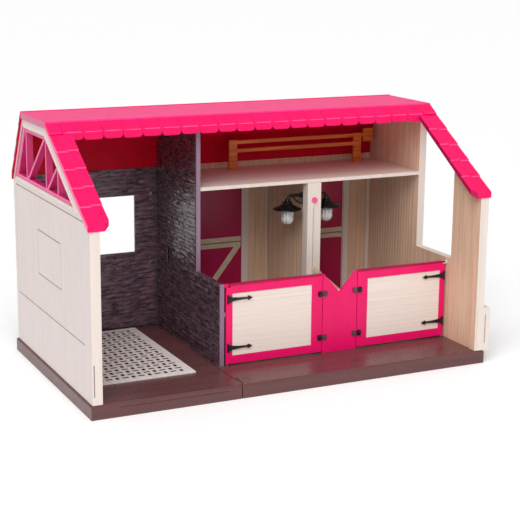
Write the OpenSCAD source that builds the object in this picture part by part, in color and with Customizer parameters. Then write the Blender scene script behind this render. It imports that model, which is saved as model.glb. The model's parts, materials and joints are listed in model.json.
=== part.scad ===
// Toy barn with opening doors: a wash bay, two stalls, a loft and a gable roof with a flat top.
// x runs along the front from left to right, y from front to back, z up from the ground.
// Every solid is drawn from the base's front left corner, then moved so that the origin lies
// at the middle of the footprint.

/* [Base] */
// Length of the base along the front
base_w = 930; // [900:1:990]
// Depth of the base, front to back
base_d = 528; // [520:1:560]
// Height of the floor above the ground
base_h = 30; // [26:1:36]
// Thickness of the floor and skirts of the base
base_skin = 3; // [3:0.5:5]
// Distance of the groove in the front skirt from the left end, and twice its distance from the seam
skirt_line_set = 60; // [30:1:90]
// Height of the groove in the front skirt above the ground
skirt_line_h = 19.5; // [12:0.5:20]
// Chamfer along the upper edges of the base
base_edge = 4; // [1:0.5:4.5]
// Gap at the seam between the two base halves
seam_gap = 2; // [1:0.5:3]
// Distance from the partition to the middle of the seam
seam_set = 7; // [5:1:12]
// Spacing of the ribs under the floor
rib_pitch = 88; // [80:1:92]
// Thickness of the ribs under the floor
rib_t = 2; // [2:0.5:3]
// Spacing of the plates that join the base halves
joiner_pitch = 132; // [120:1:132]
// Width of the plates that join the base halves
joiner_w = 60; // [48:1:70]
// Depth of the plates that join the base halves
joiner_l = 40; // [30:1:60]
// Thickness of the plates that join the base halves
joiner_t = 4; // [3:0.5:6]
// Radius of the joining plates' pegs
peg_r = 3; // [2:0.5:5]

/* [End walls] */
// Thickness of an end wall
wall_t = 18; // [14:0.5:20]
// Thickness of an end wall's skins
wall_skin = 2; // [2:0.1:3]
// Set-back of the walls from the edge of the base
wall_inset = 4; // [2:0.5:6]
// Width of the rim round the hollows in the walls
wall_rim = 12; // [8:1:16]
// Width of the front corner posts
post_w = 21; // [20.5:0.5:28]
// Depth of the front corner posts
post_d = 20; // [16:1:28]
// Height of the dado groove above the floor
dado_h = 115; // [100:1:130]
// Height of the upper groove above the floor
upper_groove_h = 361; // [340:1:365]
// Width of the grooves
groove_w = 1.4; // [1:0.1:2]
// Width of the level lines and of the line round the raised panel
line_w = 2.4; // [1.5:0.1:3]
// Depth of the grooves
groove_d = 1; // [0.4:0.1:1.2]
// Spacing of the plank grooves
plank_pitch = 12; // [9:0.5:24]
// Height of the raised panel on the left wall
panel_h = 99; // [80:1:120]
// Width of the raised panel on the left wall
panel_w = 161; // [120:1:200]
// Height of the raised panel's lower edge above the floor
panel_z = 191; // [150:1:200]
// Distance of the raised panel's front edge from the front of the base
panel_y = 187; // [150:1:220]
// Height of the side opening's sill above the floor
side_sill_h = 189; // [180:1:200]
// Distance of the side opening from the front of the base
side_y = 114; // [100:1:120]
// Depth of the side opening, front to back
side_d = 148; // [130:1:150]
// Height of the slotted foot at each front corner
foot_h = 98; // [80:1:110]
// How far the right foot stands out past the base
foot_out = 12; // [8:1:15]
// Length of the slot in a foot
foot_slot_h = 66; // [50:1:72]

/* [Gable truss] */
// Height of the truss opening's sill above the floor
truss_sill_h = 380; // [372:1:386]
// Height of the wall above the truss opening
truss_head = 27; // [20:1:32]
// Width of the wall in front of the truss opening
truss_front = 26; // [20:1:30]
// Width of the wall behind the truss opening
truss_rear = 18; // [14:1:24]
// Width of the truss frame
truss_bar = 8; // [6:0.5:10]
// Width of the truss's inner bars
truss_web = 7; // [5:0.5:9]
// Depth of the truss in the wall
truss_t = 14; // [10:1:14]
// Distances of the truss's upright bars from the front of the base
truss_posts = [200, 280, 421];

/* [Back wall] */
// Thickness of the back wall
back_t = 5; // [4:0.5:7]
// Set-back of the back wall's inner face from the back of the base
back_set = 38; // [34:1:44]
// Height of the back wall above the floor
back_h = 382; // [378:1:390]
// Distance of the wash bay window from the end wall
window_set = 54; // [40:1:70]
// Width of the wash bay window
window_w = 203; // [180:1:220]
// Height of the window's sill above the floor
window_sill = 184; // [150:1:200]
// Height of the window
window_h = 134; // [100:1:150]

/* [Partition and divider] */
// Distance of the partition's left face from the left end
partition_x = 335; // [320:1:345]
// Thickness of the partition
partition_t = 10; // [8:0.5:12]
// Distance of the partition's lower front edge from the front of the base
partition_y = 130; // [129:0.5:131]
// Thickness of the strips on the partition's front edges
edge_t = 3; // [2:0.5:4]
// Height of the partition's low front part above the floor
half_wall_h = 182; // [178:1:186]
// Distance of the partition's upper front edge from the front of the base
partition_up_y = 257; // [252:1:258]
// Thickness of the divider between the stalls
divider_t = 10; // [8:0.5:12]
// Width of the post at the divider's front edge
stall_post_w = 34; // [33:1:40]
// Depth of the post at the divider's front edge
stall_post_d = 24; // [23:1:28]
// Height of the divider's low wing where it meets the post, above the floor
wing_back_h = 165; // [155:1:178]
// Height of the divider's low wing behind the centre panel, above the floor
wing_front_h = 141; // [136:1:148]

/* [Loft] */
// Distance of the loft's front edge from the front of the base
loft_y = 261; // [260:1:270]
// Height of the loft's underside above the floor
loft_h = 361; // [360:1:368]
// Thickness of the loft board
loft_t = 8; // [6:0.5:10]
// Thickness of the loft board's top skin
loft_skin = 3; // [2:0.5:4]
// Distance of the loft's rail from the front of the base
rail_y = 446; // [430:1:455]
// Distance of the rail's left end from the partition
rail_set = 155; // [130:1:170]
// Distance of the rail's right end from the right wall
rail_end = 20; // [12:1:60]
// Width of the rail's posts
rail_post = 21; // [16:1:24]
// Width of the rail's bars
rail_bar = 9; // [7:0.5:10]
// Thickness of the rail
rail_t = 7; // [5:0.5:9]
// Height of the rail above the loft board
rail_h = 71; // [64:1:76]
// Height of the rail's lower bar above the loft board
rail_low = 41; // [36:1:44]
// Height of the rail's upper bar above the loft board
rail_high = 61; // [56:1:64]
// Height of the rail's end block above the loft board
rail_block = 49; // [45:1:53]
// How far the rail's end block rises above its posts
rail_rise = 10; // [4:1:12]

/* [Roof] */
// Height of the flat roof top above the ground
roof_top = 560; // [555:1:580]
// Distance of the flat top's front edge from the front of the base
cap_y = 262; // [258:1:264]
// Depth of the flat top, front to back
cap_d = 176; // [170:1:180]
// Thickness of the flat top's edges
cap_t = 6; // [5:0.5:8]
// Thickness of the flat top between its edges
cap_skin = 3; // [2:0.5:4]
// Height of the skirts at the ends of the flat top
skirt_h = 15; // [10:1:20]
// Height of the roof's surface at the front foot of its side slopes
rake_low = 392; // [385:1:398]
// Height of the roof's rear edge
eave_h = 409; // [402:1:415]
// Distance of the roof's rear edge from the back of the base
eave_set = 2; // [1:0.5:3]
// Height of the front slopes' cut ends
rake_v = 13; // [11:0.5:16]
// Width of the front slopes at the ends
rake_w = 47; // [36:1:60]
// Radius of the front slopes' lower inner corners
rake_r = 12; // [6:1:16]
// Thickness of the rear slope
rear_roof_t = 5; // [4:0.5:8]
// Depth of the front strip of shingles
strip_d = 33; // [28:0.5:36]
// Height of the scalloped edge under the front strip
scallop_h = 16.5; // [14.5:0.5:22]
// Thickness of the scalloped edge
scallop_t = 4; // [3:0.5:6]
// Cut at the lower corners of a shingle
tab_cut = 4; // [2:0.5:6]
// Difference in level between neighbouring shingles
tab_drop = 3; // [1:0.5:4]
// Width of a shingle
tab_pitch = 43.3; // [36:0.1:58]
// Width of the shingle at the roof's left end, cut off by the end
tab_first = 29.4; // [20:0.1:36]
// Height of the steps between shingle courses
course_step = 3; // [2:0.5:4]
// Number of shingle courses on a front slope
rake_courses = 5; // [3:1:7]
// Number of shingle courses on the rear slope
rear_courses = 4; // [3:1:6]
// Thickness of the web that carries the rear slope on the back wall
web_t = 4; // [3:0.5:4]

/* [Front doors] */
// Distance of the doors' front faces from the front of the base
door_y = 128; // [127:0.5:129]
// Thickness of the doors
door_t = 8; // [7:0.5:9]
// Height of the doors
door_h = 178; // [170:1:178]
// Gap under the doors
door_lift = 4; // [2:0.5:6]
// Gap between a door's hinged edge and the wall
door_gap = 4; // [3:0.5:5]
// Gap at the seams beside the centre panel
seam_clear = 1.6; // [0.8:0.1:2]
// Width of the centre panel
centre_w = 86; // [70:1:100]
// Depth of the notch in the centre panel
notch_h = 47; // [35:1:50]
// Width of a door's hinged stile
hinge_stile = 14.5; // [13:0.5:18]
// Width of a door's closing stile
close_stile = 26; // [20:1:32]
// Width of a door's top rail
top_rail = 21.5; // [18:0.5:26]
// Width of a door's bottom rail
bottom_rail = 18; // [14:0.5:24]
// Thickness of a door's infill panel
infill_t = 5; // [4:0.5:6]
// Set-back of the infill panel behind the frame's face
infill_set = 1.5; // [1:0.1:2]
// Spacing of the grooves in the infill panel
infill_pitch = 9; // [6:0.5:16]
// Diameter of the front doors' hinge pins
pin_d = 3; // [2.5:0.1:3.5]
// Depth of the hinge pins in the doors
pin_in = 14; // [10:0.5:16]
// Depth of the hinge pins in the floor
pin_foot = 10; // [8:1:14]
// Height of the lugs over the doors' top corners
lug_h = 7; // [6:0.5:9]

/* [Straps and catches] */
// Length of a strap hinge
strap_l = 62; // [50:1:80]
// Width of a strap hinge's butt
strap_butt = 13; // [10:1:16]
// Height of a strap hinge's butt
strap_h = 20; // [14:1:24]
// Thickness of a strap hinge
strap_t = 2; // [1.5:0.1:2]
// Height of the upper straps above the doors' lower edge
strap_high = 144; // [130:1:150]
// Height of the lower straps above the doors' lower edge
strap_low = 36; // [25:1:45]
// Width of one half of a catch
catch_w = 11; // [8:0.5:14]
// Height of a catch
catch_h = 13; // [10:0.5:16]
// Thickness of a catch
catch_t = 4.5; // [3:0.5:5]
// Height of the upper catches above the doors' lower edge
catch_high = 133; // [110:1:140]
// Height of the lower catches above the doors' lower edge
catch_low = 33; // [25:1:60]

/* [Rear doors] */
// Width of a rear doorway
rear_w = 150; // [130:1:154]
// Distance of the left rear doorway from the partition
rear_left_set = 61; // [50:1:70]
// Distance of the right rear doorway from the divider
rear_right_set = 53; // [44:1:60]
// Height of a rear doorway
rear_h = 335; // [320:1:336]
// Height of a rear doorway's threshold
rear_sill = 10; // [8:1:12]
// Height of the joint between the two leaves, above the threshold
rear_split = 176; // [150:1:190]
// Gap round a rear door leaf
leaf_gap = 1; // [0.8:0.1:1.2]
// Thickness of a rear door leaf
leaf_t = 6; // [5.5:0.5:6.5]
// Width of the rails on a rear door
leaf_rail = 11; // [8:0.5:16]
// Width of the braces on a rear door
leaf_brace = 14; // [8:0.5:18]
// Thickness of the rails and braces on a rear door
leaf_bar_t = 1.6; // [1:0.1:2]
// Width of the frame round a rear doorway
rear_trim_w = 14; // [12:1:15]
// How far the doorway frame stands out on each side of the wall
rear_trim_out = 2; // [1.5:0.5:3]
// Width of the stop inside the doorway frame
rear_stop_w = 3; // [2:0.5:4]
// Diameter of the rear doors' hinge rods
rod_d = 2.6; // [2:0.1:3]

/* [Lamps] */
// Distance of the lamps from the front of the base
lamp_y = 292; // [291:1:310]
// Distance of a lamp's centre from the middle of the divider
lamp_x = 50.5; // [46:0.5:60]
// Height of a lamp shade's brim above the floor
lamp_h = 298; // [280:1:300]
// Radius of a lamp shade
shade_r = 35.5; // [30:0.5:38]
// Height of the shade's cone
shade_h = 13; // [10:1:18]
// Thickness of the shade
shade_t = 1.6; // [1.2:0.2:2]
// Radius of the shade's hub
hub_r = 8; // [6.5:0.5:10]
// Height of the shade's hub
hub_h = 9; // [6:1:12]
// Radius of a lamp arm
arm_r = 2.8; // [2:0.1:3.5]
// Radius of the bend in a lamp arm
bend_r = 9; // [7:0.5:12]
// Height of a lamp's wall plate
plate_h = 31; // [26:1:36]
// Width of a lamp's wall plate
plate_w = 16; // [12:1:20]
// Thickness of a lamp's wall plate
plate_t = 4; // [3:0.5:6]
// Radius of the lamp glass
glass_r = 15; // [12:0.5:17]
// Height of the lamp glass
glass_h = 35; // [26:1:38]
// Thickness of the lamp glass
glass_t = 1.5; // [1:0.1:2]
// Radius of the bulb in a lamp
bulb_r = 5; // [3:0.5:6]
// Length of the bulb in a lamp
bulb_l = 15; // [10:1:20]

/* [Light switch] */
// Height of the button above the floor
button_h = 322; // [316:1:328]
// Radius of the button
button_r = 6.5; // [5:0.5:8]
// How far the button stands out of the post
button_out = 3; // [2.5:0.5:5]
// Travel of the button
button_travel = 2; // [1:0.5:2.5]
// Diameter of a battery cell
cell_d = 10.5; // [10:0.1:11]
// Length of a battery cell
cell_l = 44.5; // [42:0.5:46]
// Thickness of the battery cover
cover_t = 2.5; // [2:0.5:3]

/* [Wash bay] */
// Distance of the drain tray from the end wall
tray_x = 2; // [1:1:8]
// Width of the drain tray
tray_w = 248; // [230:1:260]
// Distance of the drain tray from the front of the base
tray_y = 113; // [100:1:120]
// Depth of the drain tray, front to back
tray_d = 367; // [340:1:370]
// Thickness of the drain tray
tray_t = 3.5; // [3:0.5:6]
// Width of the drain tray's plain rim
tray_rim = 12; // [8:1:20]
// Spacing of the drain slots
slot_pitch = 18; // [17:1:30]
// Length of a drain slot
slot_l = 14; // [10:0.5:15]
// Width of a drain slot
slot_w = 7.5; // [4:0.5:9]
// Distance of the tap from the front of the base
tap_y = 412; // [380:1:440]
// Height of the tap's spout above the floor
tap_h = 175; // [150:1:210]

/* [Fits] */
// Clearance all round between a pin and its bore
pin_clear = 0.05; // [0.03:0.01:0.08]
// Clearance between still pieces that fit together
seat_clear = 0.2; // [0.1:0.05:0.3]
// Clearance between a door and what it closes against
stop_clear = 0.5; // [0.3:0.1:0.8]

/* [Hidden] */
$fn = 48;

cream = "#e6dccf";
hot_pink = "#f0206c";
light_pink = "#ea7aa3";
truss_pink = "#e0508c";
magenta = "#8c1040";
brown = "#6a4440";
slate = "#4a3a42";
lilac = "#968aa0";
black = "#1c1a1c";
orange_wood = "#b86a28";

// Plan: everything across the barn follows from the base and the partition.
left_out = wall_inset;
left_in = left_out + wall_t;
right_out = base_w - wall_inset;
right_in = right_out - wall_t;
stall_l = partition_x + partition_t;
stall_mid = (stall_l + right_in) / 2;
divider_l = stall_mid - divider_t / 2;
divider_r = stall_mid + divider_t / 2;
post_l = stall_mid - stall_post_w / 2;
post_r = stall_mid + stall_post_w / 2;
seam_mid = partition_x - seam_set;
seam_l = seam_mid - seam_gap / 2;
seam_r = seam_mid + seam_gap / 2;
wall_front = 2;
wall_back = base_d - wall_inset;
back_in = base_d - back_set;
back_out = back_in + back_t;
bay_split = partition_x + partition_t / 2;

// Roof lines: y runs back, z up.
cap_back = cap_y + cap_d;
cap_under = roof_top - cap_t;
eave_y = base_d - eave_set;
front_slope = (roof_top - rake_low) / cap_y;
rear_slope = (roof_top - eave_h) / (eave_y - cap_back);
rear_v = rear_roof_t * sqrt(1 + rear_slope * rear_slope);
function front_z(y) = rake_low + front_slope * y;
function rear_z(y) = roof_top - rear_slope * (y - cap_back);
function under_rake(y) = front_z(y) - rake_v;
function under_rear(y) = rear_z(y) - rear_v;
rim_front = (cap_under - rake_low + rake_v) / front_slope;
rim_back = cap_back + (roof_top - rear_v - cap_under) / rear_slope;
strip_y = cap_y - strip_d;

// Front doors, drawn for the left door.
door_z = base_h + door_lift;
door_top = door_z + door_h;
door_back = door_y + door_t;
axis_y = door_y + door_t / 2;
door_l = stall_l + door_gap;
centre_l = stall_mid - centre_w / 2;
centre_r = stall_mid + centre_w / 2;
door_r = centre_l - seam_clear;
axis_x = door_l + door_t / 2;
bore_r = pin_d / 2 + pin_clear;
stop_t = 3;
stop_lap = 6;
centre_z = door_top + seam_clear / 2;

// Rear doorways, drawn with the doorway's left edge at x = 0.
rear_left_x = stall_l + rear_left_set;
rear_right_x = divider_r + rear_right_set;
rear_z0 = base_h + rear_sill;
rear_z1 = rear_z0 + rear_h;
split_z = rear_z0 + rear_split;
frame_front = back_in - rear_trim_out;
frame_back = back_out + rear_trim_out;
leaf_front = back_in + stop_clear;
leaf_axis_x = leaf_gap + leaf_t / 2;
leaf_axis_y = leaf_front + leaf_t / 2;
rod_r = rod_d / 2 + pin_clear;
rod_in = rear_sill * 0.6;

// Loft.
loft_z = base_h + loft_h;
loft_top = loft_z + loft_t;

// Lamps, drawn with the shade's brim at z = 0 and the wall on the +x side.
brim_z = base_h + lamp_h;
hub_top = shade_h + hub_h;
arm_run = lamp_x - divider_t / 2 - plate_t;

// Stall post and its pocket for the switch and the cells.
post_y = partition_up_y - 1;
post_back = post_y + stall_post_d;
post_wall = 4;
button_z = base_h + button_h;
pocket_z1 = button_z + button_r + 8;
pocket_z0 = button_z - button_r - 8 - cell_l;
flange_t = 1.5;
flange_r = button_r + 2;

module barn() {
    translate([-(base_w + foot_out) / 2, -base_d / 2, 0])
        children();
}

// The right half of the stalls' front mirrors the left half.
module across() {
    translate([2 * stall_mid, 0, 0])
        mirror([1, 0, 0])
            children();
}

// A box from one corner to the other.
module block(a, b) {
    translate(a)
        cube([b[0] - a[0], b[1] - a[1], b[2] - a[2]]);
}

// An outline drawn in y and z, given a thickness along x from x0.
module slab_x(x0, t) {
    translate([x0, 0, 0])
        rotate([90, 0, 90])
            linear_extrude(t)
                children();
}

// An outline drawn in x and z, given a thickness along y from y0.
module slab_y(y0, t) {
    translate([0, y0 + t, 0])
        rotate([90, 0, 0])
            linear_extrude(t)
                children();
}

function plank_count(length) = floor(length / plank_pitch);
function plank_start(length) = (length - (plank_count(length) - 1) * plank_pitch) / 2;

// Upright plank grooves in a face that looks along x.
module grooves_on_x(x0, x1, y0, y1, z0, z1) {
    for (i = [0 : plank_count(y1 - y0) - 1]) {
        y = y0 + plank_start(y1 - y0) + i * plank_pitch;
        block([x0, y - groove_w / 2, z0], [x1, y + groove_w / 2, z1]);
    }
}

// Upright plank grooves in a face that looks along y.
module grooves_on_y(y0, y1, x0, x1, z0, z1) {
    for (i = [0 : plank_count(x1 - x0) - 1]) {
        x = x0 + plank_start(x1 - x0) + i * plank_pitch;
        block([x - groove_w / 2, y0, z0], [x + groove_w / 2, y1, z1]);
    }
}

// ---- Base ----

// Half of the base: a floor with skirts and ribs, open below, chamfered on its outer edges.
// Its children are bosses under the floor.
module base_half(x0, x1, edge_l, edge_r, ribs_x) {
    difference() {
        intersection() {
            slab_x(x0, x1 - x0)
                polygon([
                    [0, 0], [base_d, 0], [base_d, base_h - base_edge],
                    [base_d - base_edge, base_h], [base_edge, base_h], [0, base_h - base_edge]
                ]);
            slab_y(0, base_d)
                polygon([
                    [x0, 0], [x1, 0], [x1, base_h - edge_r],
                    [x1 - edge_r, base_h], [x0 + edge_l, base_h], [x0, base_h - edge_l]
                ]);
        }
        difference() {
            block(
                [x0 + base_skin, base_skin, -1],
                [x1 - base_skin, base_d - base_skin, base_h - base_skin]
            );
            for (y = [rib_pitch : rib_pitch : base_d - rib_pitch / 2])
                block([x0, y - rib_t / 2, 0], [x1, y + rib_t / 2, base_h]);
            for (x = ribs_x)
                block([x - rib_t / 2, 0, 0], [x + rib_t / 2, base_d, base_h]);
            children();
        }
        base_joints(seat_clear);
    }
}

// The joining plates with their pegs, grown by the clearance where they are cut out.
module base_joints(clear) {
    top = base_h - base_skin;
    low = clear > 0 ? -1 : top - joiner_t;
    for (y = [joiner_pitch / 2 : joiner_pitch : base_d - joiner_l]) {
        block(
            [seam_mid - joiner_w / 2 - clear, y - joiner_l / 2 - clear, low],
            [seam_mid + joiner_w / 2 + clear, y + joiner_l / 2 + clear, top]
        );
        for (side = [-1, 1])
            translate([seam_mid + side * joiner_w / 4, y, low])
                cylinder(r = peg_r + clear, h = top + base_skin / 2 + clear - low);
    }
}

// The left half has a shallow groove along its front skirt.
module base_left() {
    color(brown) barn()
        difference() {
            base_half(
                0, seam_l, base_edge, 0,
                [for (x = [rib_pitch : rib_pitch : seam_l - joiner_w / 2]) x]
            );
            block(
                [skirt_line_set, -1, skirt_line_h],
                [seam_l - skirt_line_set / 2, groove_d, skirt_line_h + groove_w]
            );
        }
}

module base_right() {
    boss_r = 5;
    color(brown) barn()
        difference() {
            base_half(
                seam_r, base_w, 0, base_edge,
                [for (x = [base_w - rib_pitch : -rib_pitch : stall_l + joiner_w / 2]) x]
            ) {
                front_axes()
                    translate([0, 0, base_h - pin_foot - 1])
                        cylinder(r = boss_r, h = pin_foot + 1);
            }
            front_axes()
                translate([0, 0, base_h - pin_foot])
                    cylinder(r = bore_r, h = pin_foot + 1);
            block(
                [seam_r - 1, 2 * base_edge, base_h - base_skin / 2],
                [partition_x, partition_y / 3, base_h + 1]
            );
        }
}

module base_joiners() {
    color(brown) barn()
        base_joints(0);
}

// ---- Wash bay floor ----

// Slots in a basket-weave pattern: each one lies across its neighbours.
module drain_tray() {
    x0 = left_in + tray_x;
    columns = floor((tray_w - 2 * tray_rim) / slot_pitch);
    rows = floor((tray_d - 2 * tray_rim) / slot_pitch);
    first_x = x0 + (tray_w - (columns - 1) * slot_pitch) / 2;
    first_y = tray_y + (tray_d - (rows - 1) * slot_pitch) / 2;
    color(cream) barn()
        difference() {
            block([x0, tray_y, base_h], [x0 + tray_w, tray_y + tray_d, base_h + tray_t]);
            for (i = [0 : columns - 1], j = [0 : rows - 1])
                translate([first_x + i * slot_pitch, first_y + j * slot_pitch, base_h - 1])
                    rotate([0, 0, (i + j) % 2 * 90])
                        translate([-slot_l / 2, -slot_w / 2, 0])
                            cube([slot_l, slot_w, tray_t + 2]);
        }
}

// ---- End walls ----

module wall_outline() {
    polygon([
        [wall_front, base_h], [wall_back, base_h], [wall_back, under_rear(wall_back)],
        [rim_back, cap_under], [rim_front, cap_under], [wall_front, under_rake(wall_front)]
    ]);
}

// The opening for the truss; inset is the width taken off all round for the frame's bars.
function front_drop(w) = w * sqrt(1 + front_slope * front_slope);
function rear_drop(w) = w * sqrt(1 + rear_slope * rear_slope);
function truss_front_y(z, inset) =
    (z + front_drop(truss_front + inset) + rake_v - rake_low) / front_slope;
function truss_rear_y(z, inset) =
    cap_back + (roof_top - rear_v - rear_drop(truss_rear + inset) - z) / rear_slope;

module truss_outline(inset) {
    low = base_h + truss_sill_h + inset;
    high = cap_under - truss_head - inset;
    polygon([
        [truss_front_y(low, inset), low], [truss_rear_y(low, inset), low],
        [truss_rear_y(high, inset), high], [truss_front_y(high, inset), high]
    ]);
}

// A narrow groove round a rectangle in the face at x, drawn in y and z.
module panel_line(x0, x1, y0, y1, z0, z1) {
    difference() {
        block([x0, y0, z0], [x1, y1, z1]);
        block([x0 - 1, y0 + line_w, z0 + line_w], [x1 + 1, y1 - line_w, z1 - line_w]);
    }
}

module end_wall_left() {
    front = wall_front + post_d;
    dado_z = base_h + dado_h;
    line_z = base_h + upper_groove_h;
    face = left_out + groove_d;
    back_y = wall_back - post_d;
    color(cream) barn()
        difference() {
            union() {
                slab_x(left_out, wall_t)
                    wall_outline();
                slab_x(left_out, post_w)
                    polygon([
                        [wall_front, base_h], [front, base_h],
                        [front, under_rake(front)], [wall_front, under_rake(wall_front)]
                    ]);
            }
            slab_x(left_out - 1, post_w + 2)
                truss_outline(0);
            block(
                [left_out + wall_skin, front + wall_rim, base_h - 1],
                [left_in - wall_skin, wall_back - wall_rim, base_h + truss_sill_h - wall_rim]
            );
            // Outer face: two level lines, planks between them and a raised panel.
            block([0, front + post_d, line_z], [face, back_y, line_z + line_w]);
            block([0, front + post_d, dado_z - line_w], [face, back_y, dado_z]);
            block([0, back_y, dado_z - line_w], [face, back_y + line_w, line_z + line_w]);
            block(
                [0, back_y + line_w * 2, base_h + post_d],
                [face, back_y + line_w * 3, dado_z - line_w * 5]
            );
            difference() {
                grooves_on_x(
                    0, left_out + groove_d / 2, front + post_d, back_y, dado_z, line_z
                );
                block(
                    [0, panel_y, base_h + panel_z],
                    [left_in, panel_y + panel_w, base_h + panel_z + panel_h]
                );
            }
            panel_line(
                0, face, panel_y, panel_y + panel_w,
                base_h + panel_z, base_h + panel_z + panel_h
            );
            // Slot in the foot of the post.
            foot_slot(left_out + post_w / 5);
        }
}

module foot_slot(x) {
    slot_t = 2.5;
    slot_z = base_h + (foot_h - foot_slot_h) / 2;
    slot_deep = 7;
    block([x - slot_t / 2, -1, slot_z], [x + slot_t / 2, slot_deep, slot_z + foot_slot_h]);
}

module end_wall_right() {
    front = wall_front + post_d;
    sill_z = base_h + side_sill_h;
    side_back = side_y + side_d;
    rear_y = side_back + wall_rim;
    inner = right_in - 1;
    color(cream) barn()
        difference() {
            union() {
                slab_x(right_in, wall_t)
                    wall_outline();
                slab_x(right_out - post_w, post_w)
                    polygon([
                        [wall_front, base_h], [front, base_h],
                        [front, under_rake(front)], [wall_front, under_rake(wall_front)]
                    ]);
            }
            block([inner - post_w, side_y, sill_z], [base_w, side_back, roof_top]);
            // Hollows below the sill and behind the opening.
            block(
                [right_in + wall_skin, front + wall_rim, base_h - 1],
                [right_out - wall_skin, wall_back - wall_rim, sill_z - wall_rim]
            );
            block(
                [right_in + wall_skin, rear_y, sill_z - wall_rim - 1],
                [right_out - wall_skin, wall_back - wall_rim, under_rear(wall_back) - wall_rim]
            );
            block(
                [right_in + wall_skin, rear_y, under_rear(wall_back) - wall_rim - 1],
                [right_out - wall_skin, rim_back - wall_rim, cap_under - wall_rim]
            );
            // Planks on the inner face.
            grooves_on_x(
                inner, right_in + groove_d, front + wall_rim, side_y - wall_rim,
                base_h + wall_rim, under_rake(front)
            );
            grooves_on_x(
                inner, right_in + groove_d, side_y - wall_rim / 2, side_back + wall_rim / 2,
                base_h + wall_rim, sill_z - wall_rim
            );
            grooves_on_x(
                inner, right_in + groove_d, rear_y, back_in - wall_rim,
                base_h + wall_rim, under_rear(back_in) - wall_rim
            );
            // Seat of the slotted foot.
            block([right_in + 1, -1, base_h - 1], [base_w, front, base_h + foot_h]);
        }
}

module foot_right() {
    front = wall_front + post_d;
    foot_x = right_in + 1;
    color(cream) barn()
        difference() {
            block([foot_x, 0, base_h], [base_w + foot_out, front, base_h + foot_h]);
            foot_slot(base_w);
        }
}

// A straight bar of the truss between two points in y and z.
module truss_brace(a, b) {
    length = norm(b - a);
    translate(a)
        rotate([0, 0, atan2(b[1] - a[1], b[0] - a[0])])
            translate([0, -truss_web / 2])
                square([length, truss_web]);
}

module gable_truss() {
    low = base_h + truss_sill_h;
    high = cap_under - truss_head;
    color(truss_pink) barn()
        slab_x(left_out + (wall_t - truss_t) / 2, truss_t) {
            difference() {
                truss_outline(0);
                truss_outline(truss_bar);
            }
            intersection() {
                truss_outline(truss_bar / 2);
                union() {
                    for (y = truss_posts)
                        translate([y - truss_web / 2, low])
                            square([truss_web, high - low]);
                    truss_brace([truss_posts[2], low], [truss_posts[1], high]);
                    truss_brace(
                        [truss_posts[1], low],
                        [truss_posts[0], under_rake(truss_posts[0]) - front_drop(truss_front)]
                    );
                }
            }
        }
}

// ---- Back wall ----

module back_wall_bay() {
    window_x = left_in + window_set;
    window_z = base_h + window_sill;
    color(slate) barn()
        difference() {
            block([left_in, back_in, base_h], [bay_split, back_out, base_h + back_h]);
            block(
                [window_x, back_in - 1, window_z],
                [window_x + window_w, back_out + 1, window_z + window_h]
            );
        }
}

module back_wall_stalls() {
    top = base_h + back_h;
    color(cream) barn()
        difference() {
            block([bay_split, back_in, base_h], [right_in, back_out, top]);
            for (x = [rear_left_x, rear_right_x])
                block(
                    [x - rear_trim_w, back_in - 1, base_h - 1],
                    [x + rear_w + rear_trim_w, back_out + 1, rear_z1 + rear_trim_w]
                );
            for (face = [back_in - 1, back_out - groove_d]) {
                y1 = face + groove_d + 1;
                outer = bay_split + wall_rim;
                grooves_on_y(
                    face, y1, outer, rear_left_x - rear_trim_w, base_h + wall_rim, loft_z
                );
                grooves_on_y(
                    face, y1, rear_left_x + rear_w + rear_trim_w, rear_right_x - rear_trim_w,
                    base_h + wall_rim, loft_z
                );
                grooves_on_y(
                    face, y1, rear_right_x + rear_w + rear_trim_w, right_in,
                    base_h + wall_rim, loft_z
                );
            }
        }
}

// ---- Partition and divider ----

module partition() {
    front = partition_y + edge_t;
    up_front = partition_up_y + edge_t;
    half_z = base_h + half_wall_h;
    color(slate) barn()
        difference() {
            slab_x(partition_x, partition_t)
                polygon([
                    [front, base_h], [back_in, base_h], [back_in, under_rear(back_in)],
                    [rim_back, cap_under], [cap_y, cap_under],
                    [up_front, front_z(up_front) - cap_t], [up_front, half_z], [front, half_z]
                ]);
            block(
                [partition_x + wall_skin, front + wall_rim, base_h - 1],
                [stall_l - wall_skin, back_in - wall_rim, half_z - wall_rim]
            );
            block(
                [partition_x + wall_skin, up_front + wall_rim, half_z - wall_rim - 1],
                [stall_l - wall_skin, back_in - wall_rim, under_rear(back_in) - wall_rim]
            );
        }
}

// Lilac strips on the front edges of the partition.
module partition_edges() {
    half_z = base_h + half_wall_h;
    up_front = partition_up_y + edge_t;
    color(lilac) barn() {
        block([partition_x, partition_y, base_h], [stall_l, partition_y + edge_t, half_z]);
        slab_x(partition_x, partition_t)
            polygon([
                [partition_up_y, half_z], [up_front, half_z],
                [up_front, front_z(up_front) - cap_t],
                [partition_up_y, front_z(partition_up_y) - cap_t]
            ]);
    }
}

module stall_divider() {
    color(cream) barn()
        difference() {
            block([divider_l, post_back, base_h], [divider_r, back_in, loft_z]);
            block(
                [divider_l + wall_skin, post_back + wall_rim, base_h - 1],
                [divider_r - wall_skin, back_in - wall_rim, brim_z - 2 * wall_rim]
            );
            grooves_on_x(
                divider_l - 1, divider_l + groove_d, post_back + wall_rim, back_in - wall_rim,
                base_h + wall_rim, brim_z - wall_rim
            );
            grooves_on_x(
                divider_r - groove_d, divider_r + 1, post_back + wall_rim, back_in - wall_rim,
                base_h + wall_rim, brim_z - wall_rim
            );
        }
}

module divider_wing() {
    color(cream) barn()
        slab_x(divider_l, divider_t)
            polygon([
                [door_back, base_h], [post_y, base_h],
                [post_y, base_h + wing_back_h], [door_back, base_h + wing_front_h]
            ]);
}

// ---- Stall post with the light switch ----

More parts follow.
